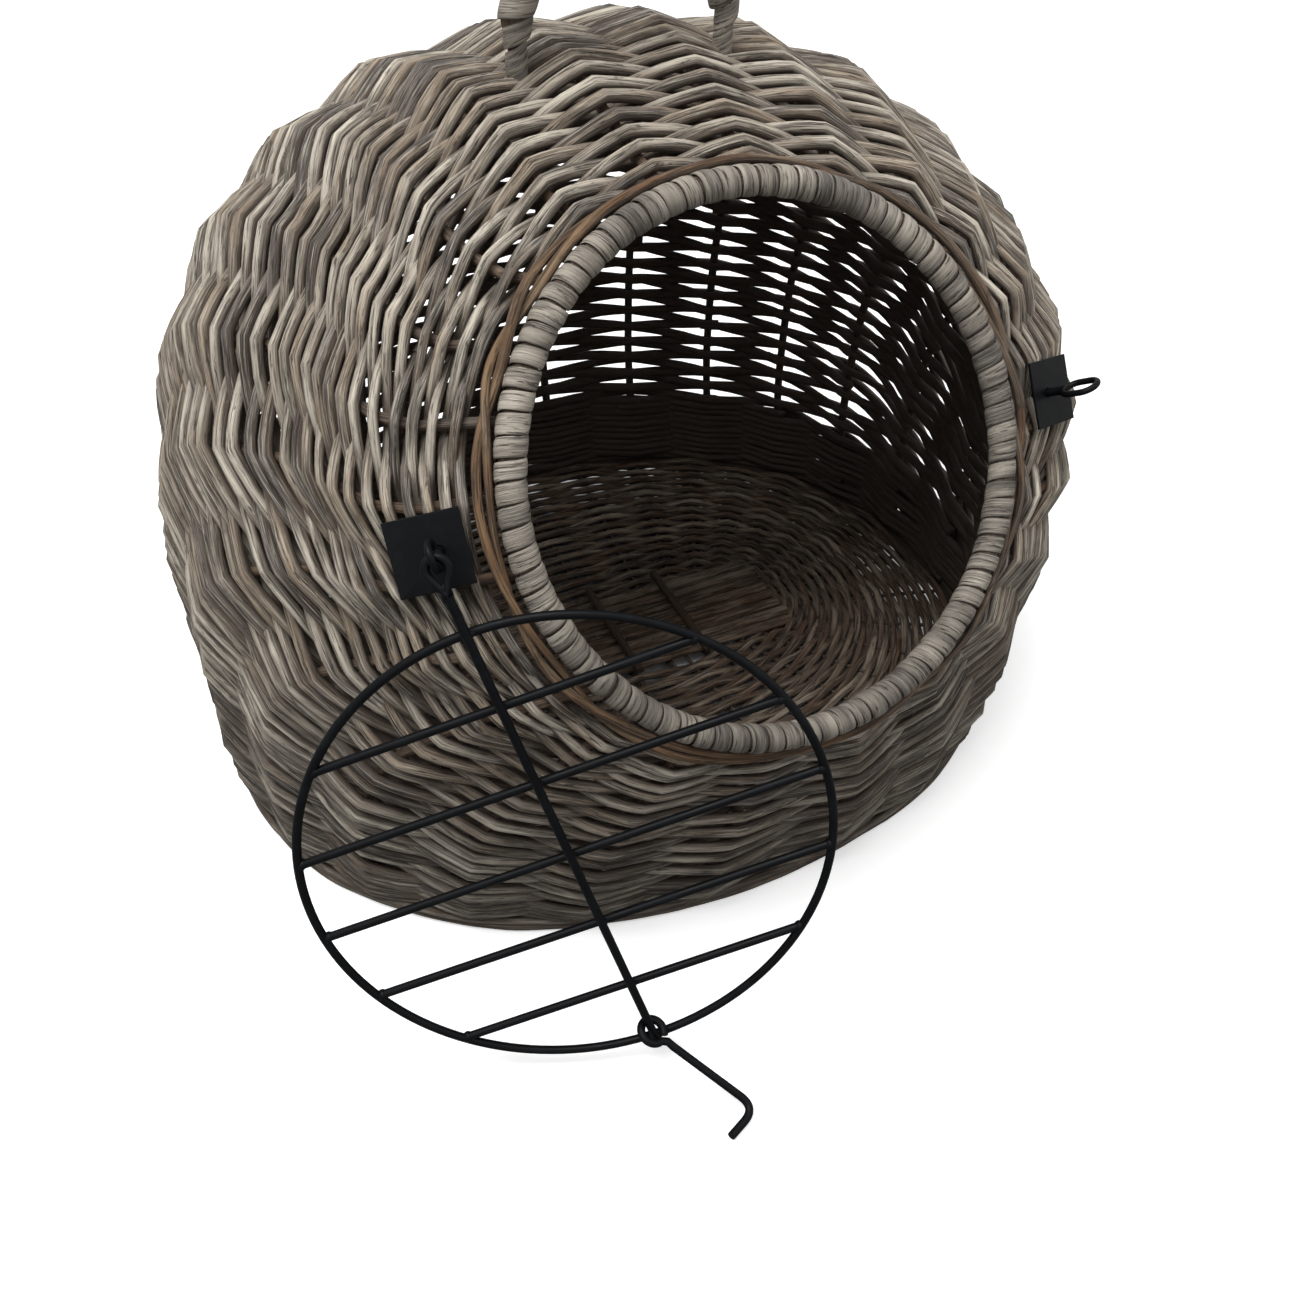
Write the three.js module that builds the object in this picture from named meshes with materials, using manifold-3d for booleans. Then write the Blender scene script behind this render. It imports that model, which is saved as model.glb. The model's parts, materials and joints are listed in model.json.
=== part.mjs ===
// Willow pet carrier: a woven basket with a tilted round mouth and a wire door.
// Millimetres, +Z up. The origin is the middle of the underside, and the mouth faces -Y.
import * as THREE from "three";
import { mergeVertices } from "three/addons/utils/BufferGeometryUtils.js";
import Module from "manifold-3d";

const wasm = await Module();
wasm.setup();

// Driving sizes of the basket, measured over the weave
const baseHalfWidth = 248;
const baseHalfDepth = 210;
const baseExponent = 2.2;
const mouthExponent = 2;
const mouthRadius = 118;
const mouthTilt = 32;
const mouthCentreY = -168;
const mouthCentreZ = 250;
const footHeight = 9.5;
const footWidth = 18;
const footRounding = 2.2;
const clearance = 0.3;

// Outline of the wall in the middle plane, from the base over the back and the crown to the mouth
const bellyBack = 226;
const bellyHeight = 110;
const upperBack = 208;
const upperHeight = 239;
const shoulderBack = 132;
const shoulderHeight = 342;
const crownBack = 5;
const crownHeight = 377;
const frontBelly = 223;
const frontBellyHeight = 57;

// How the wall narrows from the base's half width (1) to the mouth's radius (0), by the share of
// the way from the foot to the mouth
const wallTaper = [
  [0, 1],
  [0.1, 1.0095],
  [0.2, 1.0154],
  [0.31, 1.0086],
  [0.42, 0.9923],
  [0.5, 0.9723],
  [0.58, 0.9323],
  [0.66, 0.8692],
  [0.73, 0.8],
  [0.8, 0.6944],
  [0.86, 0.5923],
  [0.93, 0.4808],
  [0.965, 0.3615],
  [0.99, 0.1692],
  [1, 0],
];
const levelShare = 0.1;

// Willow
const stakeCount = 24;
const stakeRadius = 3;
const rodThickness = 5;
const weaveEase = 0.6;
const courseShares = [0, 0.115, 0.23, 0.34, 0.445, 0.55, 0.65, 0.745, 0.84, 0.94, 1];
const courseGapShare = 0.004;
const flatCourses = 8;
const hoopRadius = 6.7;
const hoopRidge = 0.2;
const hoopSections = 48;
const edgeRodRadius = 2.25;
const floorTop = 10;
const floorRidge = 1;
const floorPinch = 3;
const floorRingCount = 6;
const floorWellShare = 0.54;
const floorWellTop = 8;
const longStickCount = 8;
const longStickWidth = 9;
const longStickLength = 230;
const longStickHeight = 5.7;
const longStickShoulder = 1.8;
const longStickValley = 1.4;
const crossStickCount = 3;
const crossStickRadius = 2.6;
const crossStickPitch = 48;
const crossStickLength = 84;

// Carrying handle on the crown
const handleShare = 0.87;
const handleStakeBays = 2;
const handleRise = 62;
const handleRadius = 8;
const handleLegRadius = 5;
const handleLegDepth = 15;
const handleShoulder = 6;
const handleKneeIn = 1;
const handleKneeHeight = 28;
const handleCrookIn = 14.4;
const handleCrookDrop = 10;

// Wire door and its fittings
const wireRadius = 2;
const doorRadius = 115.5;
const doorReach = 149.75;
const crossbarSpacing = 40;
const crossbarCount = 5;
const loopLength = 15;
const loopHalfWidth = 4.6;
const plateSize = 31;
const plateThickness = 1.2;
const plateShift = 4;
const eyeSeatOut = 31.2;
const eyeStandOff = 22;
const eyeLeanOut = 0.352;
const eyeLeanUp = 0.04;
const eyeWireRadius = 1.5;
const eyeHoleRadius = 4;
const eyeHoleStretch = 5;
const shankRadius = 2;
const shankFit = 0.35;
const rightEyeTurn = 20;
const washerRadius = 7;
const washerThickness = 1.2;
const washerGap = 4.6;
const clenchLength = 6.5;
const doorOpening = 82.3;
const doorCloseTilt = 2.5;
const hookEyeRadius = 6;
const hookEyePlace = 109.5;
const hookTurn = 35;
const hookRodLength = 60;
const hookLegLength = 18.5;
const hookLegHeading = 203;
const hookBend = 9;

// Fineness of the curves
const outlineSteps = 120;
const searchSteps = 30;
const normalStepShare = 0.012;
const handleSteps = 36;
const eyeSteps = 8;
const loopSteps = 10;
const hookSteps = 20;
const edgeRodSides = 5;
const stakeSides = 6;
const wireSides = 8;
const hoopSides = 8;
const holeSides = 10;
const washerSides = 16;
const hookEyeSides = 16;
const ringSides = 56;

// Colours
const greyWillow = { color: 0x8a8070, roughness: 0.75, metalness: 0 };
const darkWillow = { color: 0x4a443d, roughness: 0.8, metalness: 0 };
const splitWillow = { color: 0x9a9488, roughness: 0.65, metalness: 0 };
const brownWillow = { color: 0x8a6748, roughness: 0.7, metalness: 0 };
const blackPaint = { color: 0x1b1e23, roughness: 0.45, metalness: 0.2 };

const carrier = new THREE.Group();
const degrees = THREE.MathUtils.degToRad;
const vec = (x, y, z) => new THREE.Vector3(x, y, z);
const along = (point, direction, distance) => point.clone().addScaledVector(direction, distance);

function addPiece(parent, name, geometry, look) {
  const piece = new THREE.Mesh(geometry, new THREE.MeshStandardMaterial(look));
  piece.name = name;
  parent.add(piece);
  return piece;
}

// The mouth's plane
const mouthCentre = vec(0, mouthCentreY, mouthCentreZ);
const mouthNormal = vec(0, -Math.cos(degrees(mouthTilt)), Math.sin(degrees(mouthTilt)));
const mouthUp = vec(0, Math.sin(degrees(mouthTilt)), Math.cos(degrees(mouthTilt)));
const sideways = vec(1, 0, 0);

// Every course lies in a plane through one line along X, where the mouth's plane meets the foot's.
const weaveStartZ = footHeight + clearance;
const fanY = mouthCentreY - ((mouthCentreZ - weaveStartZ) / mouthUp.z) * mouthUp.y;
const mouthAngle = degrees(90 - mouthTilt);

// Points of a smooth line through the given ones
function smoothLine(points) {
  const curve = new THREE.CatmullRomCurve3(points.map(([a, b]) => vec(a, b, 0)));
  return curve.getPoints(outlineSteps).map((p) => [p.x, p.y]);
}

// Reads a value from a table of [key, value] rows with rising keys.
function lookUp(table, key) {
  let i = 1;
  while (i < table.length - 1 && table[i][0] < key) i += 1;
  const [k0, v0] = table[i - 1];
  const [k1, v1] = table[i];
  return v0 + ((v1 - v0) * (key - k0)) / (k1 - k0);
}

// Distance of an outline from the fan's line, by the share of the fan's whole turn
function fanTable(outline) {
  return smoothLine(outline).map(([y, z]) => [
    Math.atan2(z - weaveStartZ, y - fanY) / mouthAngle,
    Math.hypot(y - fanY, z - weaveStartZ),
  ]);
}

const rimTop = along(mouthCentre, mouthUp, mouthRadius);
const rimBottom = along(mouthCentre, mouthUp, -mouthRadius);
const backTable = fanTable([
  [baseHalfDepth, weaveStartZ],
  [bellyBack, bellyHeight],
  [upperBack, upperHeight],
  [shoulderBack, shoulderHeight],
  [crownBack, crownHeight],
  [rimTop.y, rimTop.z],
]);
const frontTable = fanTable([
  [-baseHalfDepth, weaveStartZ],
  [-frontBelly, frontBellyHeight],
  [rimBottom.y, rimBottom.z],
]);
const taperTable = smoothLine(wallTaper);

const power = (value, exponent) => Math.sign(value) * Math.abs(value) ** exponent;

// A point of the wall's outer face. Turn goes round from +X over the back, fan from foot to mouth.
function outerFace(turn, fan) {
  const back = lookUp(backTable, fan);
  const front = lookUp(frontTable, fan);
  const exponent = 2 / THREE.MathUtils.lerp(baseExponent, mouthExponent, fan * fan);
  const distance = (back + front) / 2 + ((back - front) / 2) * power(Math.sin(turn), exponent);
  const angle = mouthAngle * fan;
  const halfWidth = THREE.MathUtils.lerp(mouthRadius, baseHalfWidth, lookUp(taperTable, fan));
  return vec(
    halfWidth * power(Math.cos(turn), exponent),
    fanY + distance * Math.cos(angle),
    weaveStartZ + distance * Math.sin(angle),
  );
}

// At the foot the wall's pieces stand level, so the normal starts level there.
function outwardNormal(turn, fan) {
  const low = Math.max(fan - normalStepShare, 0);
  const high = Math.min(fan + normalStepShare, 1);
  const round = outerFace(turn + normalStepShare, fan).sub(outerFace(turn - normalStepShare, fan));
  const rise = outerFace(turn, high).sub(outerFace(turn, low));
  const normal = round.cross(rise).normalize();
  const levelling = 1 - THREE.MathUtils.smoothstep(fan, 0, levelShare);
  return normal.setZ(normal.z * (1 - levelling)).normalize();
}

// A point at a distance outside the middle line of the stakes
const stakeInset = stakeRadius + weaveEase + rodThickness;
function wallPoint(turn, fan, outside) {
  return along(outerFace(turn, fan), outwardNormal(turn, fan), outside - stakeInset);
}

// Distance from the middle line of the mouth's hoop
function hoopDistance(point) {
  const local = point.clone().sub(mouthCentre);
  const out = local.dot(mouthNormal);
  const across = local.addScaledVector(mouthNormal, -out).length();
  return Math.hypot(across - mouthRadius, out);
}

// The last share of the upper wall for which a test holds
const upperWallShare = 0.7;
function lastFan(holds) {
  let low = upperWallShare;
  let high = 1;
  for (let i = 0; i < searchSteps; i += 1) {
    const middle = (low + high) / 2;
    if (holds(middle)) low = middle;
    else high = middle;
  }
  return low;
}

// The share of the fan at which the wall comes within a distance of the hoop's middle line
function fanAtHoopDistance(turn, outside, distance) {
  return lastFan((fan) => hoopDistance(wallPoint(turn, fan, outside)) > distance);
}

const edgeRodOutside = stakeRadius + clearance + edgeRodRadius;
const innerEdgeRodDistance = hoopRadius + hoopRidge + clearance + edgeRodRadius;
const outerEdgeRodDistance = innerEdgeRodDistance + 2 * edgeRodRadius + clearance;
const weaveEndDistance = outerEdgeRodDistance + edgeRodRadius + clearance;

// The fan share of a share of the woven wall, which ends short of the rods round the hoop
function weaveFan(turn, share) {
  return share * fanAtHoopDistance(turn, edgeRodOutside, weaveEndDistance);
}

// Joins rings of points into one closed skin, round on itself or with flat ends.
function loft(rings, closed) {
  const sides = rings[0].length;
  const points = rings.flat();
  const faces = [];
  const last = closed ? rings.length : rings.length - 1;
  for (let i = 0; i < last; i += 1) {
    const here = i * sides;
    const next = ((i + 1) % rings.length) * sides;
    for (let k = 0; k < sides; k += 1) {
      const k1 = (k + 1) % sides;
      faces.push(here + k, next + k1, here + k1, here + k, next + k, next + k1);
    }
  }
  if (!closed) {
    const end = points.length - sides;
    for (let k = 1; k < sides - 1; k += 1) {
      faces.push(0, k, k + 1, end, end + k + 1, end + k);
    }
  }
  const geometry = new THREE.BufferGeometry().setFromPoints(points);
  geometry.setIndex(faces);
  return geometry;
}

// A ring of points round a centre, in the plane of two directions
function circle(centre, right, up, radius, sides) {
  return Array.from({ length: sides }, (_, k) => {
    const angle = (2 * Math.PI * k) / sides;
    return along(along(centre, right, radius * Math.cos(angle)), up, radius * Math.sin(angle));
  });
}

// A round rod closed on itself, that follows points about a plane with the given normal
function closedRod(points, normal, radiusAt, sides) {
  const count = points.length;
  const rings = points.map((point, i) => {
    const ahead = points[(i + 1) % count].clone().sub(points[(i + count - 1) % count]).normalize();
    const right = ahead.clone().cross(normal).normalize();
    const up = right.clone().cross(ahead);
    return circle(point, right, up, radiusAt(i), sides);
  });
  return loft(rings, true);
}

// A round rod along a curve, with flat ends
function openRod(curve, radius, sides, steps) {
  const section = new THREE.Shape(circle(vec(0, 0, 0), sideways, vec(0, 1, 0), radius, sides));
  return new THREE.ExtrudeGeometry(section, { steps, bevelEnabled: false, extrudePath: curve });
}

function solidOf(geometry) {
  const plain = geometry.clone();
  plain.deleteAttribute("normal");
  plain.deleteAttribute("uv");
  const merged = mergeVertices(plain, 1e-3);
  const vertProperties = Float32Array.from(merged.getAttribute("position").array);
  const triVerts = Uint32Array.from(merged.index.array);
  return new wasm.Manifold(new wasm.Mesh({ numProp: 3, vertProperties, triVerts }));
}

function geometryOf(solid) {
  const mesh = solid.getMesh();
  const geometry = new THREE.BufferGeometry();
  geometry.setAttribute("position", new THREE.BufferAttribute(mesh.vertProperties, 3));
  geometry.setIndex(new THREE.BufferAttribute(mesh.triVerts, 1));
  return geometry;
}

function joined(...geometries) {
  const solids = geometries.map(solidOf);
  return geometryOf(solids.slice(1).reduce((sum, solid) => sum.add(solid), solids[0]));
}

function cutBy(geometry, cutters) {
  const solid = cutters.map(solidOf).reduce((rest, cutter) => rest.subtract(cutter), solidOf(geometry));
  return geometryOf(solid);
}

// A straight round bar between two points
function bar(from, to, radius, sides) {
  const axis = to.clone().sub(from);
  const geometry = new THREE.CylinderGeometry(radius, radius, axis.length(), sides);
  const turned = new THREE.Quaternion().setFromUnitVectors(vec(0, 1, 0), axis.clone().normalize());
  geometry.applyQuaternion(turned);
  return geometry.translate(...from.clone().lerp(to, 0.5));
}

// Foot and floor
const sectionCount = 2 * stakeCount;
const turnOf = (section) => (2 * Math.PI * section) / sectionCount;

function footPoint(turn, inset, z) {
  const edge = outerFace(turn, 0);
  return along(edge, outwardNormal(turn, 0), -inset).setZ(z);
}

function footBorder() {
  const corners = [
    [footRounding, 0],
    [0, footRounding],
    [0, footHeight - footRounding],
    [footRounding, footHeight],
    [footWidth, footHeight],
    [footWidth, 0],
  ];
  const rings = Array.from({ length: sectionCount }, (_, s) =>
    corners.map(([inset, z]) => footPoint(turnOf(s), inset, z)),
  );
  return loft(rings, true);
}

// The floor's rods part round the spread ends of its sticks and draw together between them, so
// the floor is thinner there on both faces.
function floorWeave() {
  const edge = Array.from({ length: sectionCount }, (_, s) =>
    footPoint(turnOf(s), footWidth + clearance, 0),
  );
  const ring = (share, z, pinch) =>
    edge.map((p, s) => vec(p.x * share, p.y * share, s % 2 ? z : z + pinch));
  const rings = [
    ring(floorWellShare, 0, 0),
    ring(1, 0, floorPinch),
    ring(1, floorTop - floorRidge, -floorPinch),
  ];
  for (let i = 1; i <= floorRingCount; i += 1) {
    const share = THREE.MathUtils.lerp(1, floorWellShare, i / (floorRingCount + 1));
    rings.push(ring(share, floorTop + (i % 2 ? floorRidge : -floorRidge), -floorPinch));
  }
  rings.push(ring(floorWellShare, floorWellTop, 0));
  return loft(rings.reverse(), false);
}

function floorLongSticks() {
  const bottom = floorWellTop + clearance;
  const top = bottom + longStickHeight;
  const half = (longStickCount * longStickWidth) / 2;
  const outline = [[half, bottom]];
  for (let i = 0; i < longStickCount; i += 1) {
    const near = half - i * longStickWidth;
    const far = near - longStickWidth;
    outline.push([near - longStickShoulder, top]);
    outline.push([far + longStickShoulder, top]);
    outline.push([far, top - longStickValley]);
  }
  outline.push([-half, bottom]);
  const shape = new THREE.Shape(outline.map(([y, z]) => new THREE.Vector2(y, z)));
  const sticks = new THREE.ExtrudeGeometry(shape, { depth: longStickLength, bevelEnabled: false });
  sticks.applyMatrix4(new THREE.Matrix4().makeBasis(vec(0, 1, 0), vec(0, 0, 1), sideways));
  return sticks.translate(-longStickLength / 2, 0, 0);
}

function crossStick(x) {
  const z = floorWellTop + clearance + longStickHeight + clearance + crossStickRadius;
  const half = crossStickLength / 2;
  return bar(vec(x, -half, z), vec(x, half, z), crossStickRadius, hoopSides);
}

addPiece(carrier, "foot_border", footBorder(), greyWillow);
addPiece(carrier, "floor_weave", floorWeave(), darkWillow);
addPiece(carrier, "floor_long_sticks", floorLongSticks(), greyWillow);
for (let i = 0; i < crossStickCount; i += 1) {
  const x = (i - (crossStickCount - 1) / 2) * crossStickPitch;
  addPiece(carrier, `floor_cross_stick_${i + 1}`, crossStick(x), darkWillow);
}

// The edges of a course, and its middle line where the wall bends most, near the mouth
function courseLines(index, gap) {
  const low = courseShares[index] + (index ? gap : 0);
  const high = courseShares[index + 1] - gap;
  return index < flatCourses ? [low, high] : [low, (low + high) / 2, high];
}

// Stakes run from the foot to the hoop, with a break at each line of a course.
function stake(turn) {
  const breaks = courseShares.flatMap((share, i) =>
    i < courseShares.length - 1 ? courseLines(i, 0).slice(0, -1) : [share],
  );
  const end = fanAtHoopDistance(turn, stakeRadius, hoopRadius + hoopRidge + clearance);
  const fans = [...breaks.map((share) => weaveFan(turn, share)), end];
  const centres = fans.map((fan) => wallPoint(turn, fan, 0));
  const rings = fans.map((fan, i) => {
    const before = centres[Math.max(i - 1, 0)];
    const after = centres[Math.min(i + 1, centres.length - 1)];
    const ahead = i ? after.clone().sub(before).normalize() : vec(0, 0, 1);
    const across = ahead.clone().cross(outwardNormal(turn, fan)).normalize();
    return circle(centres[i], across, across.clone().cross(ahead), stakeRadius, stakeSides);
  });
  return loft(rings, false);
}

const stakeTurn = (i) => (2 * Math.PI * (i + 0.5)) / stakeCount;
for (let i = 0; i < stakeCount; i += 1) {
  addPiece(carrier, `stake_${String(i + 1).padStart(2, "0")}`, stake(stakeTurn(i)), darkWillow);
}

// A course is a pair of strands. One passes outside each stake and the other inside it, and they
// cross in the middle of each bay, so the course has a gap round every stake.
const swing = stakeRadius + weaveEase + rodThickness / 2;
const halfBay = Math.PI / stakeCount;
const halfRod = rodThickness / 2;
const partingTurn = halfBay * (1 - halfRod / swing);

// A bay's corners as turn from the stake and distance outside its middle line: the crossing before
// it, the two strands' far faces, and the four corners of the gap
const bayCorners = [
  [-halfBay, halfRod],
  [-halfBay, -halfRod],
  [0, swing + halfRod],
  [0, -swing - halfRod],
  [-partingTurn, 0],
  [0, swing - halfRod],
  [partingTurn, 0],
  [0, halfRod - swing],
];

// Faces over a bay's corners, and the edges of its side faces. Numbers past the last corner are
// the next bay's.
const bayFaces = [
  [0, 2, 5],
  [0, 5, 4],
  [0, 4, 1],
  [1, 4, 7],
  [1, 7, 3],
  [2, 8, 5],
  [5, 8, 6],
  [8, 9, 6],
  [6, 9, 7],
  [7, 9, 3],
];
const bayEdges = [
  [0, 2],
  [2, 8],
  [9, 3],
  [3, 1],
  [5, 4],
  [6, 5],
  [4, 7],
  [7, 6],
];

function course(index) {
  const lines = courseLines(index, courseGapShare / 2);
  const count = stakeCount * bayCorners.length;
  const points = lines.flatMap((share) =>
    Array.from({ length: count }, (_, k) => {
      const [aside, outside] = bayCorners[k % bayCorners.length];
      const turn = stakeTurn(Math.floor(k / bayCorners.length)) + aside;
      return wallPoint(turn, weaveFan(turn, share), outside);
    }),
  );
  const faces = [];
  for (let first = 0; first < count; first += bayCorners.length) {
    const at = (line, corner) => line * count + ((first + corner) % count);
    for (const [a, b, c] of bayFaces) {
      faces.push(at(0, a), at(0, c), at(0, b));
      faces.push(at(lines.length - 1, a), at(lines.length - 1, b), at(lines.length - 1, c));
    }
    for (let line = 1; line < lines.length; line += 1) {
      for (const [a, b] of bayEdges) {
        faces.push(at(line, b), at(line, a), at(line - 1, a));
        faces.push(at(line, b), at(line - 1, a), at(line - 1, b));
      }
    }
  }
  const geometry = new THREE.BufferGeometry().setFromPoints(points);
  geometry.setIndex(faces);
  return geometry;
}

// The mouth's hoop, bound with split willow, and the brown rods laid round it
function rimHoop() {
  const radiusAt = (i) => hoopRadius + (i % 2 ? -hoopRidge : hoopRidge);
  const points = circle(mouthCentre, sideways, mouthUp, mouthRadius, hoopSections);
  return closedRod(points, mouthNormal, radiusAt, hoopSides);
}

function edgeRod(distance) {
  const points = Array.from({ length: sectionCount }, (_, s) => {
    const turn = turnOf(s);
    return wallPoint(turn, fanAtHoopDistance(turn, edgeRodOutside, distance), edgeRodOutside);
  });
  return closedRod(points, mouthNormal, () => edgeRodRadius, edgeRodSides);
}

addPiece(carrier, "rim_hoop", rimHoop(), splitWillow);
addPiece(carrier, "rim_edge_rod_inner", edgeRod(innerEdgeRodDistance), brownWillow);
addPiece(carrier, "rim_edge_rod_outer", edgeRod(outerEdgeRodDistance), brownWillow);

// The handle's legs go down through one course, in the middle of a bay between two stakes.
const handleTurn = Math.PI / 2 - (handleStakeBays / 2) * ((2 * Math.PI) / stakeCount);
const handleFoot = wallPoint(handleTurn, weaveFan(handleTurn, handleShare), 0);

function handleBow() {
  const half = handleFoot.x;
  const top = handleFoot.z + handleRise;
  const route = [
    vec(-half, handleFoot.y, handleFoot.z - handleLegDepth),
    vec(-half, handleFoot.y, handleFoot.z),
    vec(-half, handleFoot.y, handleFoot.z + stakeInset),
    vec(-half + handleKneeIn, handleFoot.y, handleFoot.z + handleKneeHeight),
    vec(-half + handleCrookIn, handleFoot.y, top - handleCrookDrop),
    vec(0, handleFoot.y, top),
  ];
  const mirrored = route.slice(0, -1).reverse().map((p) => vec(-p.x, p.y, p.z));
  const curve = new THREE.CatmullRomCurve3([...route, ...mirrored]);
  const rings = curve.getSpacedPoints(handleSteps).map((point, i) => {
    const ahead = curve.getTangentAt(i / handleSteps);
    const across = vec(0, 1, 0);
    const out = ahead.clone().cross(across).normalize();
    const height = point.z - handleFoot.z - stakeInset;
    const swell = THREE.MathUtils.smoothstep(height, handleShoulder, 3 * handleShoulder);
    const radius = THREE.MathUtils.lerp(handleLegRadius, handleRadius, swell);
    return circle(point, out, across, radius, hoopSides);
  });
  return loft(rings, false);
}
addPiece(carrier, "handle_bow", handleBow(), splitWillow);

// Fittings of the left side. The right side mirrors their places.
const eyeTurn = Math.PI;
const leanDirection = mouthNormal
  .clone()
  .addScaledVector(sideways, -eyeLeanOut)
  .addScaledVector(mouthUp, eyeLeanUp)
  .normalize();

// The eyes stand on the wall's outer face, outside the mouth's hoop.
const eyeSeatRadius = mouthRadius + eyeSeatOut;
const seatFan = lastFan((fan) => -outerFace(eyeTurn, fan).x > eyeSeatRadius);
const leftSeat = outerFace(eyeTurn, seatFan);
const leftPivot = along(leftSeat, leanDirection, eyeStandOff);

// The door hangs by its loop from the left eye. Closed, it lies across the mouth.
function doorAxes() {
  const across = new THREE.Matrix4().makeBasis(mouthUp, sideways.clone().negate(), mouthNormal);
  const tilt = new THREE.Matrix4().makeRotationAxis(mouthUp, -degrees(doorCloseTilt));
  const opening = new THREE.Matrix4().makeRotationAxis(leanDirection, -degrees(doorOpening));
  return opening.multiply(tilt).multiply(across);
}
const doorBasis = doorAxes();
const doorX = vec(0, 0, 0);
const doorY = vec(0, 0, 0);
const doorZ = vec(0, 0, 0);
doorBasis.extractBasis(doorX, doorY, doorZ);

// A frame with Z along a direction and X as near as can be to a wanted one
function frameAt(origin, direction, wantedX) {
  const across = direction.clone().cross(wantedX).normalize();
  const right = across.clone().cross(direction).normalize();
  const frame = new THREE.Group();
  frame.applyMatrix4(new THREE.Matrix4().makeBasis(right, across, direction));
  frame.position.copy(origin);
  carrier.add(frame);
  return frame;
}

// Wall fittings, built with the shank along +Z and the hole of the eye along +X
const holeEnd = eyeHoleRadius - wireRadius - clearance;
const washerTop = -(stakeInset + rodThickness / 2 + washerGap);
function eye() {
  const ringRadius = eyeHoleRadius + eyeWireRadius;
  const top = eyeStandOff - holeEnd;
  const low = top - eyeHoleStretch;
  const arc = (z, side) =>
    Array.from({ length: eyeSteps + 1 }, (_, i) => {
      const angle = (Math.PI * i) / eyeSteps;
      return vec(0, side * ringRadius * Math.cos(angle), z + side * ringRadius * Math.sin(angle));
    });
  const outline = [...arc(top, 1), ...arc(low, -1)];
  const ring = closedRod(outline, sideways, () => eyeWireRadius, stakeSides);
  const legZ = washerTop - washerThickness - clearance - eyeWireRadius;
  const shankStart = vec(0, 0, legZ - eyeWireRadius);
  const shank = bar(shankStart, vec(0, 0, low - ringRadius), shankRadius, wireSides);
  const legs = new THREE.BoxGeometry(2 * eyeWireRadius, 2 * clenchLength, 2 * eyeWireRadius);
  legs.translate(0, 0, legZ);
  return joined(ring, shank, legs);
}

const shankHole = shankRadius + shankFit;
function squarePlate() {
  const plate = new THREE.BoxGeometry(plateSize, plateSize, plateThickness);
  plate.translate(plateShift, 0, plateThickness / 2);
  return cutBy(plate, [bar(vec(0, 0, -plateSize), vec(0, 0, plateSize), shankHole, holeSides)]);
}

function innerWasher() {
  const bottom = washerTop - washerThickness;
  const outline = [
    [shankHole, bottom],
    [washerRadius, bottom],
    [washerRadius, washerTop],
    [shankHole, washerTop],
    [shankHole, bottom],
  ].map(([r, z]) => new THREE.Vector2(r, z));
  return new THREE.LatheGeometry(outline, washerSides).rotateX(Math.PI / 2);
}

const mirror = new THREE.Vector3(-1, 1, 1);
const rightLean = leanDirection.clone().multiply(mirror);
const rightSeat = leftSeat.clone().multiply(mirror);
const leftWall = frameAt(leftSeat, leanDirection, sideways.clone().negate());
const rightWall = frameAt(rightSeat, rightLean, sideways);
addPiece(leftWall, "left_plate", squarePlate(), blackPaint);
addPiece(rightWall, "right_plate", squarePlate(), blackPaint);
addPiece(leftWall, "left_inner_washer", innerWasher(), blackPaint);
addPiece(rightWall, "right_inner_washer", innerWasher(), blackPaint);
addPiece(frameAt(leftSeat, leanDirection, doorX), "left_eye", eye(), blackPaint);
const rightHole = mouthUp.clone().applyAxisAngle(rightLean, degrees(rightEyeTurn));
addPiece(frameAt(rightSeat, rightLean, rightHole), "right_eye", eye(), blackPaint);

// Courses, cut where the shanks and the handle's legs go through
function throughHole(seat, direction) {
  const reach = 2 * (stakeInset + rodThickness);
  return bar(along(seat, direction, -reach), along(seat, direction, reach), shankHole, holeSides);
}

function handleHole(side) {
  const centre = vec(side * handleFoot.x, handleFoot.y, handleFoot.z);
  const up = vec(0, 0, 2 * stakeInset);
  const hole = handleLegRadius + clearance;
  return bar(centre.clone().sub(up), centre.clone().add(up), hole, hoopSides);
}
const cutters = [
  throughHole(leftSeat, leanDirection),
  throughHole(rightSeat, rightLean),
  handleHole(-1),
  handleHole(1),
];
for (let i = 0; i < courseShares.length - 1; i += 1) {
  const name = `weave_course_${String(i + 1).padStart(2, "0")}`;
  addPiece(carrier, name, cutBy(course(i), cutters), greyWillow);
}

// Wire door, built flat: crossbars along X, the hinge end along +Y, its front along +Z
const door = new THREE.Group();
door.applyMatrix4(doorBasis);
door.position.copy(along(leftPivot, doorY, -doorReach));
carrier.add(door);
const doorCentre = door.position;

const centreBarZ = 2 * wireRadius + clearance;
function centreBar() {
  const neck = doorReach - loopLength;
  const start = vec(0, -doorRadius, centreBarZ);
  const straight = bar(start, vec(0, neck, centreBarZ), wireRadius, wireSides);
  const arcY = doorReach - loopHalfWidth;
  const outline = [];
  for (let i = 0; i <= loopSteps; i += 1) {
    const angle = (Math.PI * i) / loopSteps;
    outline.push([loopHalfWidth * Math.cos(angle), arcY + loopHalfWidth * Math.sin(angle)]);
  }
  outline.push([0, neck]);
  const points = outline.map(([x, y]) => vec(x, y, (centreBarZ * (doorReach - y)) / loopLength));
  const loop = closedRod(points, vec(0, 0, 1), () => wireRadius, wireSides);
  return joined(straight, loop);
}

function crossbar(y) {
  const inside = doorRadius - wireRadius - clearance;
  const half = Math.sqrt(inside ** 2 - (Math.abs(y) + wireRadius) ** 2);
  return bar(vec(-half, y, 0), vec(half, y, 0), wireRadius, wireSides);
}

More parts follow.
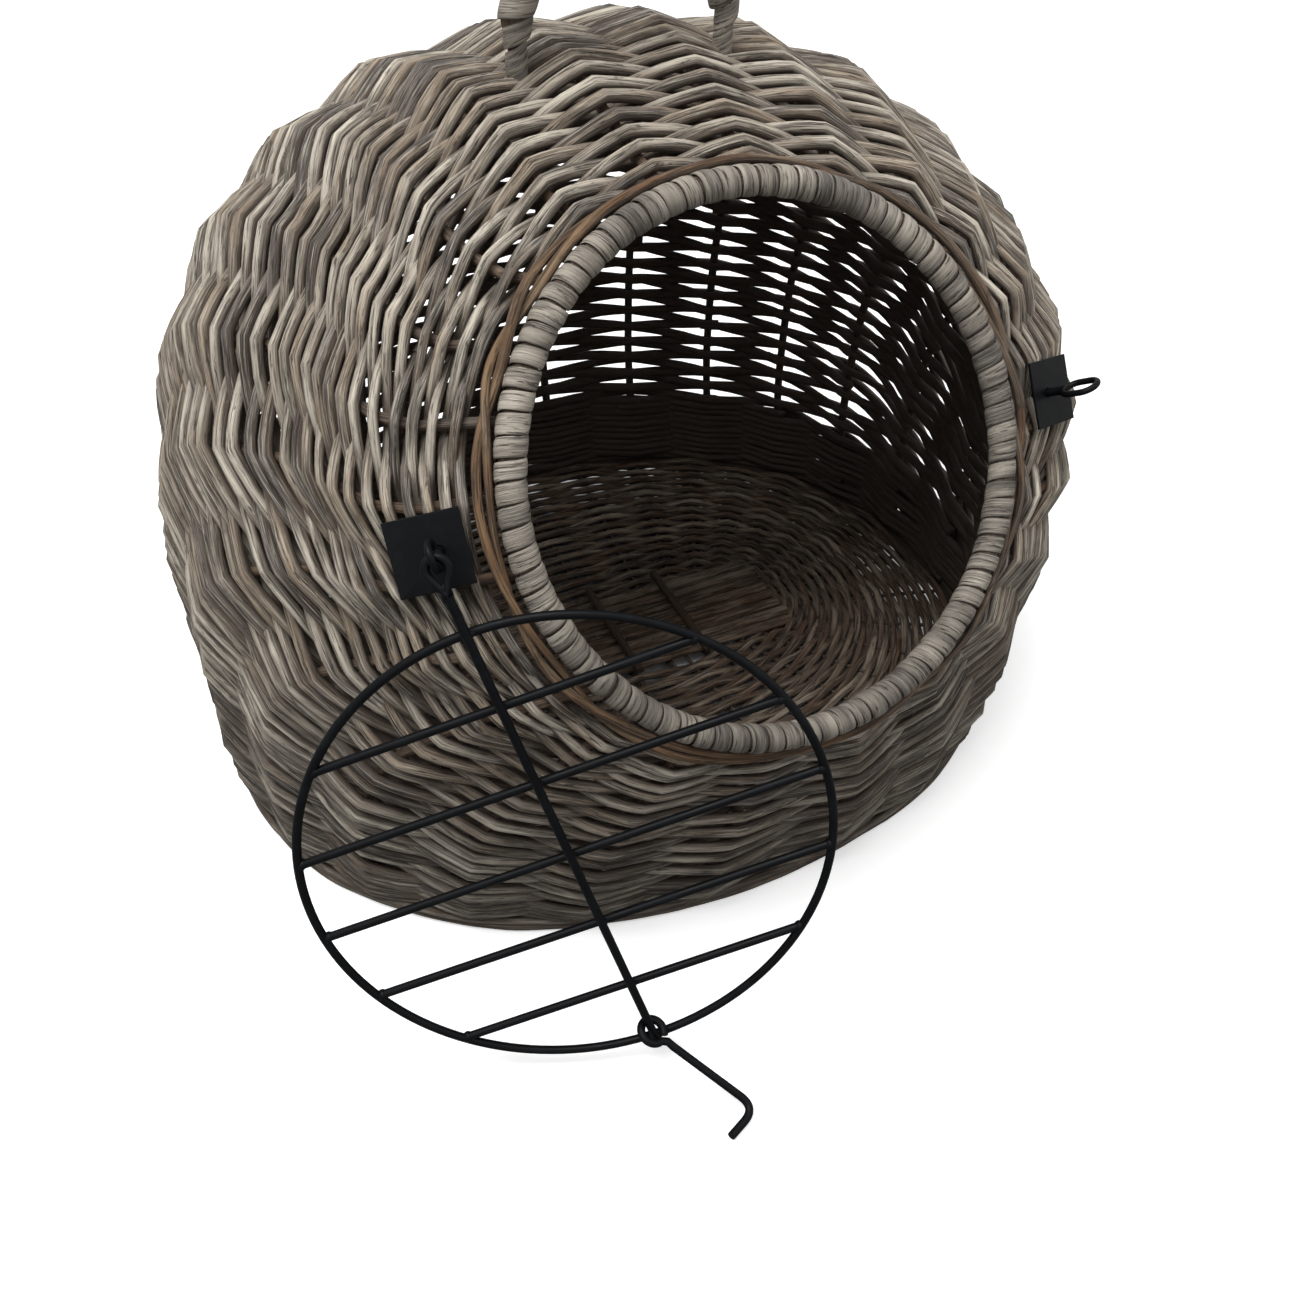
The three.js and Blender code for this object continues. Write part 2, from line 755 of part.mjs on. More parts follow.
const ring = new THREE.TorusGeometry(doorRadius, wireRadius, stakeSides, ringSides);
addPiece(door, "door_ring", ring, blackPaint);
addPiece(door, "door_centre_bar", centreBar(), blackPaint);
for (let i = 0; i < crossbarCount; i += 1) {
  const y = ((crossbarCount - 1) / 2 - i) * crossbarSpacing;
  addPiece(door, `door_crossbar_${i + 1}`, crossbar(y), blackPaint);
}

// The hook's eye goes round the centre bar, and its foot lies on the floor.
const hookCentre = along(along(door.position, doorY, -hookEyePlace), doorZ, centreBarZ);
function hookDirection() {
  const turn = degrees(hookTurn);
  const aside = along(doorX.clone().multiplyScalar(Math.cos(turn)), doorZ, Math.sin(turn));
  const drop = (wireRadius + clearance - hookCentre.z) / hookRodLength;
  const down = -doorY.z;
  const lean = Math.atan2(aside.z, down) - Math.acos(drop / Math.hypot(aside.z, down));
  const direction = doorY.clone().multiplyScalar(-Math.cos(lean));
  return direction.addScaledVector(aside, Math.sin(lean));
}
const hookAlong = hookDirection();

function hook() {
  const heading = degrees(hookLegHeading);
  const leg = vec(Math.cos(heading), Math.sin(heading), 0);
  const start = along(hookCentre, hookAlong, hookEyeRadius);
  const corner = along(hookCentre, hookAlong, hookRodLength);
  const bendStart = along(corner, hookAlong, -hookBend);
  const bendEnd = along(corner, leg, hookBend);
  const route = new THREE.CurvePath();
  route.add(new THREE.LineCurve3(start, bendStart));
  route.add(new THREE.QuadraticBezierCurve3(bendStart, corner, bendEnd));
  route.add(new THREE.LineCurve3(bendEnd, along(corner, leg, hookLegLength)));
  const rod = openRod(route, wireRadius, stakeSides, hookSteps);
  const hole = hookAlong.clone().cross(doorY).cross(hookAlong).normalize();
  const eyeRing = new THREE.TorusGeometry(hookEyeRadius, wireRadius, stakeSides, hookEyeSides);
  eyeRing.applyQuaternion(new THREE.Quaternion().setFromUnitVectors(vec(0, 0, 1), hole));
  eyeRing.translate(...hookCentre);
  return joined(eyeRing, rod);
}
addPiece(carrier, "door_hook", hook(), blackPaint);

// Places that the joints turn about
export const joints = {
  leftPivot,
  leanDirection,
  doorX,
  doorY,
  doorZ,
  doorCentre,
  hookCentre,
  rightSeat,
  rightLean,
};
export default carrier;
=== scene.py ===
"""Willow pet carrier: woven rods, bound mouth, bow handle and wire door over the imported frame."""
import json
import math
from functools import partial

import bmesh
import bpy
import numpy as np
from mathutils import Matrix, Vector


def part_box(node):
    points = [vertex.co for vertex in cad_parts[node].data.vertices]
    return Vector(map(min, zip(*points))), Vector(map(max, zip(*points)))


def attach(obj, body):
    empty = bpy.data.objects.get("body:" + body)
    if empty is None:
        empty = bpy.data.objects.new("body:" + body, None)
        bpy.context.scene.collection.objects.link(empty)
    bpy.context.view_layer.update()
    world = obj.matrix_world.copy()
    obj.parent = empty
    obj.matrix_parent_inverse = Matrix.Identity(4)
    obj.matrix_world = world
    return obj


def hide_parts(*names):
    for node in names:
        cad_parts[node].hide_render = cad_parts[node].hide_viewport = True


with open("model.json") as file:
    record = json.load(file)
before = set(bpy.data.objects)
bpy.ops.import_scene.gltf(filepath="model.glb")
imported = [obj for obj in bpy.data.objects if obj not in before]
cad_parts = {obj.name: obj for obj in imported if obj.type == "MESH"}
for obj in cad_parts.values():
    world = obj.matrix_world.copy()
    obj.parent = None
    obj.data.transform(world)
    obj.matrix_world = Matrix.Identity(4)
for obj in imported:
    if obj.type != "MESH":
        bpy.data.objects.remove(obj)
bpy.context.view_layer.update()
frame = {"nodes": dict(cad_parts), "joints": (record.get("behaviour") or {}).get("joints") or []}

bl_info = {
    "name": "Willow pet carrier",
    "version": (1, 0, 0),
    "blender": (4, 5, 0),
    "location": "3D View > Sidebar > Carrier",
    "description": "Builds a weathered willow pet carrier with a wire door",
    "category": "Object",
}

MM = 0.001

# The wall's outline in its middle plane, in millimetres (Y, Z), between the base and the mouth
BACK_OUTLINE = ((226, 110), (208, 239), (132, 342), (5, 377))
FRONT_OUTLINE = ((-223, 57),)
# How the wall narrows from the base's half width (1) to the mouth's radius (0), from foot to mouth
TAPER = (
    (0, 1), (0.1, 1.0095), (0.2, 1.0154), (0.31, 1.0086), (0.42, 0.9923), (0.5, 0.9723),
    (0.58, 0.9323), (0.66, 0.8692), (0.73, 0.8), (0.8, 0.6944), (0.86, 0.5923), (0.93, 0.4808),
    (0.965, 0.3615), (0.99, 0.1692), (1, 0),
)
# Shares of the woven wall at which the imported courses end
COURSE_SHARES = (0, 0.115, 0.23, 0.34, 0.445, 0.55, 0.65, 0.745, 0.84, 0.94, 1)
# Where the rows lie, as shares of the wall's height by shares of their number. They are close
# together over the foot, and on the flanks beside the mouth too
BACK_ROWS = ((0, 0), (0.19, 0.083), (0.8, 0.8), (1, 1))
FLANK_ROWS = ((0, 0), (0.19, 0.1), (0.74, 0.79), (1, 1))
# Pitch of the rows, in millimetres, by degrees round the wall: 90 is the back, 180 the left flank
ROW_PITCHES = (
    (-60, 8.6), (-30, 8.3), (0, 8.4), (15, 8.8), (30, 9.4), (45, 10.1), (60, 10.6), (90, 10.8),
    (120, 10.2), (150, 9.2), (180, 8.9), (210, 8.8), (240, 8.7), (270, 8.6),
)
# Rods that edge the foot: distance in from the outer face, height and radius, in millimetres
FOOT_RODS = (
    (5.6, 2.6, 2.2), (5.2, 6.9, 2.2), (9.6, 2.7, 2.2), (9.4, 7, 2.1), (13.4, 2.7, 2.3), (16.4, 4.6, 2.2),
)
# Places of a rod's points in each bay between two stakes, closer together where it bends
BAY_POINTS = (0, 0.06, 0.16, 0.32, 0.5, 0.68, 0.84, 0.94)
# How far a rod's end runs on past its stake, in bays: at its start, where another rod takes over, and
# where its row ends
TAILS = (0.13, 0.16, 0.1)
# Gap between the stakes and the brown rods round the hoop, in millimetres
EDGE_GAP = 0.3
# Sticks that close the floor under its bundle: how many, their reach along X and Y from the middle,
# their level and their radius, in millimetres
UNDER_STICKS, UNDER_REACH, UNDER_LEVEL, UNDER_RADIUS = 9, (102, 44), 5.4, 2.4
# Half the long sticks' length and the radius of the thin sticks in the floor's weave, in millimetres
LONG_REACH, THIN_RADIUS = 115, 1.3
# Dark sticks across the bundle
# Sticks across the bundle, dark with their bark and darkened further with painted shade
CROSS_STICKS = 3
# Seeds of the small differences in pieces other than the wall
SEEDS = {"hoop": 3, "handle": 11, "floor": 21, "foot": 31}
# Willow by use: the material's name, its tones, its roughness, how strongly its fibres show and how
# much darker it grows towards the foot
WILLOWS = {
    "weavers": (
        "Weathered willow weavers", ("pale", "grey", "tan", "slate", "#564d46"), 0.68, 0.72, 0.55,
    ),
    "floor": ("Dark willow floor rods", ("#b3a391", "#8a7866", "bark", "#7a7066"), 0.68, 0.72, 0),
    "bark": ("Brown willow stakes", ("tan", "bark", "bark", "slate"), 0.68, 0.72, 0.55),
    "strips": ("Split willow binding", ("#b9b1a4", "strip", "#7a736b", "#57524d"), 0.55, 0.35, 0.55),
    "edge": ("Boiled brown willow", ("#9c8468", "edge", "#6b4a30", "#6f6255"), 0.68, 0.72, 0.55),
}
# Direction of the hook's rod at rest, and the heading of its leg in degrees
HOOK_ALONG, HOOK_LEG_HEADING = (0.5547, -0.7428, -0.3748), 203
# How far the right eye is turned in its plate, in degrees
RIGHT_EYE_TURN = 20
# How far the eyes' legs reach in past the stakes' middle, to behind the washer, in millimetres
EYE_LEGS = 8.6
# The photograph's camera, as fitted: place in metres, then elevation, azimuth and roll in degrees
CAMERA_PLACE = (-0.24188, -0.53333, 0.55066)
CAMERA_ANGLES = (43.29, -26.74, 2.03)
# Its focal length in pixels, the width of its frame in pixels and of its sensor in millimetres
FOCAL_PIXELS, FRAME_PIXELS, SENSOR_WIDTH = 1218.58, 1300, 36
# For the camera the floor shines outside an oval round the carrier, and inside it keeps its shadow.
# Places on the oval are at distance 1 after this scaling
OVAL_SCALE = (4.2, 5, 0)
# Soft lamps: name, place and size in metres, power in watts
LAMPS = (("key", (-0.75, -0.25, 2.35), 1.4, 58), ("fill", (1.2, -1.3, 1.8), 1.4, 8))
# What the world gives as light, while it looks plain white
WORLD_LIGHT = 0.46


def length(name, millimetres, text):
    """A length that a user can change."""
    return bpy.props.FloatProperty(
        name=name, description=text, default=millimetres * MM, min=0, unit="LENGTH", precision=5
    )


def count(name, number, text):
    """A whole number that a user can change."""
    return bpy.props.IntProperty(name=name, description=text, default=number, min=1)


def share(name, value, text):
    """A share or a factor that a user can change."""
    return bpy.props.FloatProperty(name=name, description=text, default=value, subtype="FACTOR")


def angle(name, degrees, text):
    """An angle that a user can change."""
    return bpy.props.FloatProperty(
        name=name, description=text, default=math.radians(degrees), unit="ROTATION", subtype="ANGLE"
    )


def linear(code):
    """An sRGB hex colour as linear RGBA."""
    channels = [int(code[i:i + 2], 16) / 255 for i in (1, 3, 5)]
    return [c / 12.92 if c <= 0.04045 else ((c + 0.055) / 1.055) ** 2.4 for c in channels] + [1.0]


def colour(name, code, text):
    """A colour that a user can change."""
    return bpy.props.FloatVectorProperty(
        name=name, description=text, default=linear(code), size=4, min=0, max=1, subtype="COLOR"
    )


class CarrierWall(bpy.types.PropertyGroup):
    """Sizes of the woven wall, over the weave"""

    half_width: length("Base half width", 248, "Half the width of the base")
    half_depth: length("Base half depth", 210, "Half the depth of the base")
    base_exponent: share("Base squareness", 2.2, "Exponent of the base's outline, where 2 is an ellipse")
    mouth_exponent: share("Mouth squareness", 2, "Exponent of the mouth's outline")
    mouth_radius: length("Mouth radius", 118, "Radius of the hoop round the mouth")
    mouth_tilt: angle("Mouth tilt", 32, "How far the mouth leans back from upright")
    mouth_front: length("Mouth front", 168, "Distance of the mouth's centre in front of the middle")
    mouth_height: length("Mouth height", 250, "Height of the mouth's centre")
    foot_height: length("Foot height", 9.8, "Height at which the weave starts")
    foot_width: length("Foot width", 18, "Width of the border at the foot")
    stakes: count("Stakes", 24, "Upright rods round the wall")
    stake_radius: length("Stake radius", 3, "Radius of a stake at the foot")
    stake_inset: length("Stake inset", 8.6, "Depth of the stakes' middle under the outer face")


class CarrierWeave(bpy.types.PropertyGroup):
    """Sizes of the weave"""

    full_rows: count("Full rows", 12, "Rows that run all the way round")
    thin_rod: length("Thin rod radius", 2.05, "Radius of a rod where the rows would meet")
    rod_growth: share("Rod growth", 0.092, "Growth of the rod's radius with the pitch")
    drift: length("Drift", 0.9, "How far neighbouring rows stray together")
    stake_gap: length("Stake clearance", 3.1, "Distance from a stake's middle to a rod's side")
    kink: share("Kink", 0.85, "How sharply a rod bends over each stake")
    flank_thinning: share("Flank thinning", 0.08, "How much thinner the rods are away from the back")
    mouth_thinning: share("Thinning", 0.08, "How much thinner the flanks' rods are beside the mouth")
    wander: length("Wander", 0.75, "How far a rod strays from its row")
    rod_bays: count("Rod length", 11, "Bays that one rod passes before the next takes over")
    # How strongly the rods' inward sides and their stretches behind the stakes take painted shade
    inside_shade: share("Inside shade", 1, "How dark the sides of the rods towards the inside are")
    seed: count("Seed", 7, "Seed of the rods' differences")


class CarrierFloor(bpy.types.PropertyGroup):
    """Sizes of the floor"""

    rows: count("Floor rows", 16, "Pairs of rods between the long sticks and the foot")
    sticks: count("Floor sticks", 32, "Thin sticks that the floor's weave passes")
    oval_length: length("Oval half length", 117, "Half the length of the oval inside the weave")
    oval_width: length("Oval half width", 39, "Half the width of the oval inside the weave")
    level: length("Weave level", 6.6, "Height of the weave's middle")
    rod_radius: length("Floor rod radius", 2.5, "Radius of the weave's rods")
    long_sticks: count("Long sticks", 8, "Sticks in the bundle at the middle")
    long_spacing: length("Long stick spacing", 9, "Distance between the long sticks")
    long_level: length("Long stick level", 11.15, "Height of the long sticks' middle")
    long_radius: length("Long stick radius", 2.75, "Half the height of a long stick")
    cross_radius: length("Cross stick radius", 2.55, "Radius of the dark sticks across the bundle")


class CarrierBinding(bpy.types.PropertyGroup):
    """Sizes of the hoop's binding and of the handle"""

    hoop_radius: length("Hoop radius", 6.7, "Radius of the bound hoop")
    hoop_wraps: count("Hoop wraps", 84, "Turns of split willow round the hoop")
    wrap_sway: share("Wrap sway", 0.55, "How much squarer the strip lies outside than inside")
    wrap_fill: share("Wrap fill", 0.92, "Share of each turn's width that the strip covers")
    strip_thickness: length("Strip thickness", 1.5, "Thickness of the split willow")
    edge_rod_radius: length("Edge rod radius", 2.25, "Radius of the brown rods beside the hoop")
    edge_twists: count("Edge rod twists", 5, "Times the two brown rods turn round each other")
    handle_rise: length("Handle rise", 62, "Height of the handle over its feet")
    handle_radius: length("Handle radius", 8, "Radius of the bound handle")
    handle_leg_radius: length("Handle leg radius", 5, "Radius of the handle's legs")
    handle_wrap: length("Handle wrap", 10.5, "Width of one turn of the handle's binding")


class CarrierWire(bpy.types.PropertyGroup):
    """Sizes of the wire door and its fittings"""

    wire_radius: length("Wire radius", 2, "Radius of the door's wire")
    door_radius: length("Door radius", 115.5, "Radius of the door's ring")
    door_reach: length("Door reach", 149.75, "Distance from the door's middle to the end of its loop")
    bar_spacing: length("Bar spacing", 40, "Distance between crossbars")
    bars: count("Crossbars", 5, "Crossbars across the door")
    bar_front: length("Centre bar front", 4.3, "How far the centre bar lies in front of the ring")
    loop_length: length("Loop length", 15, "Length of the loop on the centre bar")
    loop_half_width: length("Loop half width", 4.6, "Half the width of the loop")
    eye_wire: length("Eye wire radius", 1.5, "Radius of the eyes' wire")
    eye_hole: length("Eye hole radius", 4, "Half width of an eye's hole")
    eye_stretch: length("Eye stretch", 5, "Extra length of an eye's hole")
    eye_stand: length("Eye stand", 22, "Height of the left eye's pivot over the wall")
    hook_eye: length("Hook eye radius", 6, "Radius of the hook's eye")
    hook_rod: length("Hook rod", 60, "Length of the hook's rod")
    hook_leg: length("Hook leg", 18.5, "Length of the hook's leg")
    bevel: length("Edge bevel", 0.35, "Rounding of the plates' edges")


class CarrierColours(bpy.types.PropertyGroup):
    """Colours of willow and paint"""

    pale: colour("Pale willow", "#cdc4b4", "Palest weathered rods")
    grey: colour("Grey willow", "#a79d8f", "Most of the rods")
    slate: colour("Slate willow", "#736d67", "Greyest rods")
    tan: colour("Tan willow", "#968571", "Rods that kept some of their bark's colour")
    bark: colour("Bark", "#6b4f3b", "Brown stakes")
    # The inside willow colour is painted shade, taken by the rods' inward sides, by rods behind stakes
    # and by the binding's cores
    shade: colour("Inside willow", "#51463d", "Rods on the inside of the basket")
    groove: colour("Grooves", "#211c19", "Dirt in cracks and grooves")
    strip: colour("Split willow", "#9b9387", "Binding of the hoop and the handle")
    edge: colour("Brown rods", "#80603f", "Rods beside the hoop")
    paint: colour("Black paint", "#060709", "Paint on the wire and the plates")


def sizes(name):
    """One of the groups of sizes on the scene."""
    return getattr(bpy.context.scene, "carrier_" + name)


def smooth_table(points, steps=160):
    """A centripetal spline through rising rows, as a dense table."""
    p = np.array(points, float)
    p = np.vstack([2 * p[0] - p[1], p, 2 * p[-1] - p[-2]])
    rows = []
    for i in range(1, len(p) - 2):
        d0, d1, d2 = (max(np.linalg.norm(p[k + 1] - p[k]), 1e-9) ** 0.5 for k in (i - 1, i, i + 1))
        a, b, c, d = p[i - 1:i + 3]
        start = ((b - a) / d0 - (c - a) / (d0 + d1) + (c - b) / d1) * d1
        end = ((c - b) / d1 - (d - b) / (d1 + d2) + (d - c) / d2) * d1
        t = np.linspace(0, 1, steps // (len(p) - 3) + 2)[:, None]
        rise = 3 * (c - b) - 2 * start - end
        rows.append(b + start * t + rise * t**2 + (2 * (b - c) + start + end) * t**3)
    return np.vstack(rows)


def signed_power(value, exponent):
    return np.sign(value) * np.abs(value) ** exponent


def eased(t):
    """A step from 0 to 1 that starts and ends gently."""
    t = np.clip(t, 0, 1)
    return t * t * (3 - 2 * t)


def unit(vectors):
    return vectors / np.linalg.norm(vectors, axis=-1, keepdims=True)


class Wall:
    """The woven wall. Turn goes round it from +X over the back, fan from the foot to the mouth."""

    def __init__(self):
        self.s = s = sizes("wall")
        tilt = s.mouth_tilt
        self.mouth = np.array([0, -s.mouth_front, s.mouth_height])
        self.mouth_up = np.array([0, math.sin(tilt), math.cos(tilt)])
        self.mouth_out = np.array([0, -math.cos(tilt), math.sin(tilt)])
        drop = (s.mouth_height - s.foot_height) / self.mouth_up[2]
        self.fan_y = -s.mouth_front - drop * self.mouth_up[1]
        self.whole_fan = math.pi / 2 - tilt
        top = self.mouth + s.mouth_radius * self.mouth_up
        bottom = self.mouth - s.mouth_radius * self.mouth_up
        self.back = self.fan_table(s.half_depth, BACK_OUTLINE, top)
        self.front = self.fan_table(-s.half_depth, FRONT_OUTLINE, bottom)
        self.taper = smooth_table(TAPER)

    def fan_table(self, start, outline, end):
        rows = [(start, self.s.foot_height), *((y * MM, z * MM) for y, z in outline), tuple(end[1:])]
        table = smooth_table(rows)
        y, z = table[:, 0] - self.fan_y, table[:, 1] - self.s.foot_height
        return np.stack([np.arctan2(z, y) / self.whole_fan, np.hypot(y, z)], 1)

    def face(self, turn, fan):
        """Points of the outer face."""
        s = self.s
        back, front = (np.interp(fan, t[:, 0], t[:, 1]) for t in (self.back, self.front))
        exponent = 2 / (s.base_exponent + (s.mouth_exponent - s.base_exponent) * fan**2)
        away = (back + front) / 2 + (back - front) / 2 * signed_power(np.sin(turn), exponent)
        wide = s.mouth_radius + (s.half_width - s.mouth_radius) * np.interp(fan, *self.taper.T)
        lean = self.whole_fan * fan
        x = wide * signed_power(np.cos(turn), exponent)
        return np.stack([x, self.fan_y + away * np.cos(lean), s.foot_height + away * np.sin(lean)], -1)

    def outward(self, turn, fan, step=0.012, level=0.1):
        """Directions out of the wall. At the foot they start level."""
        low, high = np.maximum(fan - step, 0), np.minimum(fan + step, 1)
        around = self.face(turn + step, fan) - self.face(turn - step, fan)
        normal = unit(np.cross(around, self.face(turn, high) - self.face(turn, low)))
        normal[..., 2] *= eased(fan / level)
        return unit(normal)

    def across(self, turn, fan, step=0.012):
        """Directions along the wall towards the mouth."""
        low, high = np.maximum(fan - step, 0), np.minimum(fan + step, 1)
        return unit(self.face(turn, high) - self.face(turn, low))

    def point(self, turn, fan, outside=0.0):
        """Points at a distance outside the stakes' middle line."""
        away = np.asarray(outside - self.s.stake_inset)[..., None]
        return self.face(turn, fan) + away * self.outward(turn, fan)

    def hoop_distance(self, points):
        local = points - self.mouth
        out = local @ self.mouth_out
        flat = np.linalg.norm(local - out[..., None] * self.mouth_out, axis=-1)
        return np.hypot(flat - self.s.mouth_radius, out)

    def fan_at(self, turn, distance, outside=0.0):
        """The fan at which the wall comes within a distance of the hoop's middle line."""
        low, high = np.full(np.shape(turn), 0.7), np.ones(np.shape(turn))
        for _ in range(24):
            middle = (low + high) / 2
            far = self.hoop_distance(self.point(turn, middle, outside)) > distance
            low, high = np.where(far, middle, low), np.where(far, high, middle)
        return low

    def bay_turn(self, bay):
        """Turn of a place counted in stakes. The first stake stands half a bay from +X."""
        return 2 * math.pi * (np.asarray(bay, float) + 0.5) / self.s.stakes


def node(tree, kind, values=None, **settings):
    """Adds a node with its settings and links. Values are plain values or sockets to link from."""
    made = tree.nodes.new(kind)
    for key, setting in settings.items():
        setattr(made, key, setting)
    for key, value in (values or {}).items():
        socket = made.inputs[key] if isinstance(key, int) else next(
            s for s in made.inputs if s.name == key and s.enabled
        )
        if isinstance(value, bpy.types.NodeSocket):
            tree.links.new(value, socket)
        else:
            socket.default_value = value
    return made


def result(tree, kind, values=None, output=None, **settings):
    """Adds a node and gives its named output, or else the first one in use."""
    outputs = node(tree, kind, values, **settings).outputs
    return outputs[output] if output else next(s for s in outputs if s.enabled)


def ranged(tree, value, low, high, start=0.0, end=1.0, **settings):
    """A value carried over from one range to another."""
    values = {"Value": value, "From Min": low, "From Max": high, "To Min": start, "To Max": end}
    return result(tree, "ShaderNodeMapRange", values, **settings)


def mixed(tree, factor, a, b):
    """A colour between two others."""
    return result(tree, "ShaderNodeMix", {"Factor": factor, "A": a, "B": b}, data_type="RGBA")


def reckoned(tree, operation, *values):
    """A sum, a product or the like of plain values or sockets."""
    return result(tree, "ShaderNodeMath", dict(enumerate(values)), operation=operation)


ROD_INPUTS = (
    ("Geometry", "Geometry", None),
    ("Clearance", "Float", 0.0),
    ("Kink", "Float", 0.6),
    ("Wander", "Float", 0.0),
    ("Wander Length", "Float", 0.06),
    ("Unevenness", "Float", 0.0),
    ("Sides", "Int", 8),
    ("Flatness", "Float", 1.0),
    ("Inside Shade", "Float", 0.0),
    ("Seed", "Int", 1),
    ("Material", "Material", None),
)


def rod_tree():
    """Rods along the edges of a mesh: each swings past its stakes, keeps to its level and wanders.

    The path's points carry outward, across, bay, side, lift, thick, gloom, tone and seed.
    """
    found = bpy.data.node_groups.get("Rods along paths")
    if found:
        return found
    tree = bpy.data.node_groups.new("Rods along paths", "GeometryNodeTree")
    for name, kind, default in ROD_INPUTS:
        socket = tree.interface.new_socket(name, in_out="INPUT", socket_type="NodeSocket" + kind)
        if default is not None:
            socket.default_value = default
    tree.interface.new_socket("Geometry", in_out="OUTPUT", socket_type="NodeSocketGeometry")
    given = tree.nodes.new("NodeGroupInput").outputs
    add, maths = partial(result, tree), partial(reckoned, tree)

    def read(name, kind="FLOAT"):
        return add("GeometryNodeInputNamedAttribute", {"Name": name}, data_type=kind)

    def vectors(operation, *values):
        return add("ShaderNodeVectorMath", dict(enumerate(values)), operation=operation)

    def scaled(vector, factor):
        return add("ShaderNodeVectorMath", {0: vector, "Scale": factor}, operation="SCALE")

    def combined(*values):
        return add("ShaderNodeCombineXYZ", dict(enumerate(values)))

    def noise(scale, detail, output):
        return add("ShaderNodeTexNoise", {"Vector": place, "Scale": scale, "Detail": detail}, output)

    def captured(geometry, kind, **fields):
        made = tree.nodes.new("GeometryNodeCaptureAttribute")
        for name in fields:
            made.capture_items.new(kind, name)
        tree.links.new(geometry, made.inputs["Geometry"])
        for name, field in fields.items():
            tree.links.new(field, made.inputs[name])
        return made.outputs

    def stored(geometry, name, value, kind):
        values = {"Geometry": geometry, "Name": name, "Value": value}
        return add("GeometryNodeStoreNamedAttribute", values, data_type=kind, domain="POINT")

    outward, across = read("outward", "FLOAT_VECTOR"), read("across", "FLOAT_VECTOR")
    bay, side, radius, seed = read("bay"), read("side"), read("thick"), read("seed")
    straight = maths("SUBTRACT", 1.0, maths("MULTIPLY", maths("PINGPONG", bay, 1.0), 2.0))
    rounded = maths("COSINE", maths("MULTIPLY", bay, math.pi))
    waves = {"Factor": given["Kink"], "A": rounded, "B": straight}
    wave = add("ShaderNodeMix", waves, data_type="FLOAT")
    reach = maths("ADD", given["Clearance"], radius)
    depth = maths("MULTIPLY", maths("MULTIPLY", reach, side), wave)
    level = maths("MULTIPLY", maths("MULTIPLY", read("lift"), side), -1.0)
    own = combined(maths("MULTIPLY", seed, 37.0), maths("MULTIPLY", seed, 91.0), given["Seed"])
    place = scaled(add("GeometryNodeInputPosition"), maths("DIVIDE", 1.0, given["Wander Length"]))
    place = vectors("ADD", place, own)
    stray = vectors("SUBTRACT", noise(1.0, 1.5, "Color"), (0.5, 0.5, 0.5))
    stray = scaled(stray, maths("MULTIPLY", given["Wander"], 2.0))
    shift = vectors("ADD", vectors("ADD", scaled(outward, depth), scaled(across, level)), stray)
    moved = add("GeometryNodeSetPosition", {"Geometry": given["Geometry"], "Offset": shift})
    curve = add("GeometryNodeMeshToCurve", {"Mesh": moved})
    turned = add("GeometryNodeSetCurveNormal", {"Curve": curve, "Normal": outward}, mode="FREE")
    along = add("GeometryNodeSplineParameter", output="Length")
    path = captured(turned, "FLOAT", Along=along, Depth=maths("DIVIDE", depth, reach))

    ring = add("GeometryNodeCurvePrimitiveCircle", {"Resolution": given["Sides"], "Radius": 1.0})
    flat = combined(1.0, given["Flatness"], 1.0)
    ring = add("GeometryNodeTransform", {"Geometry": ring, "Scale": flat})
    profile = captured(ring, "VECTOR", Section=add("GeometryNodeInputPosition"))
    uneven = maths("MULTIPLY", given["Unevenness"], maths("SUBTRACT", noise(2.3, 1.0, "Fac"), 0.5))
    rod = add("GeometryNodeCurveToMesh", {
        "Curve": path["Geometry"], "Profile Curve": profile["Geometry"],
        "Scale": maths("MULTIPLY", radius, maths("ADD", 1.0, uneven)), "Fill Caps": True,
    })

    start = maths("ADD", path["Along"], maths("MULTIPLY", seed, 3.0))
    grain = vectors("ADD", scaled(profile["Section"], radius), combined(seed, seed, start))
    # Painted shade: a rod's sides turned away from the outside, and where it passes behind a stake,
    # darken as if in shadow
    facing = vectors("DOT_PRODUCT", add("GeometryNodeInputNormal"), outward)
    turned_away = ranged(tree, facing, 0.74, -0.1, interpolation_type="SMOOTHSTEP")
    under = ranged(tree, path["Depth"], 0.25, -0.6, 0.0, 0.6)
    painted_crevice_shade = maths("MULTIPLY", maths("ADD", turned_away, under), given["Inside Shade"])
    inner = add("ShaderNodeClamp", {"Value": maths("ADD", read("gloom"), painted_crevice_shade)})
    dressed = stored(stored(rod, "grain", grain, "FLOAT_VECTOR"), "inner", inner, "FLOAT")
    for kind, values in (
        ("GeometryNodeSetShadeSmooth", {}), ("GeometryNodeRealizeInstances", {}),
        ("GeometryNodeSetMaterial", {"Material": given["Material"]}),
    ):
        dressed = add(kind, {"Geometry": dressed, **values})
    tree.links.new(dressed, tree.nodes.new("NodeGroupOutput").inputs[0])
    return tree


# Each path also carries its own share of painted shade, which darkens the whole rod as if in shadow
POINT_VALUES = ("bay", "side", "lift", "thick", "gloom", "tone", "seed")


def line(points, closed=False, outward=(0, 0, 1), across=(0, 0, 1), **values):
    """One path: its points and what each carries. Single values hold for the whole path."""
    points = np.asarray(points, float)
    made = {"points": points, "closed": closed}
    for key, vector in (("outward", outward), ("across", across)):
        made[key] = np.broadcast_to(np.asarray(vector, float), points.shape)
    for key in POINT_VALUES:
        made[key] = np.broadcast_to(np.asarray(values.get(key, 0.0), float), len(points))
    return made


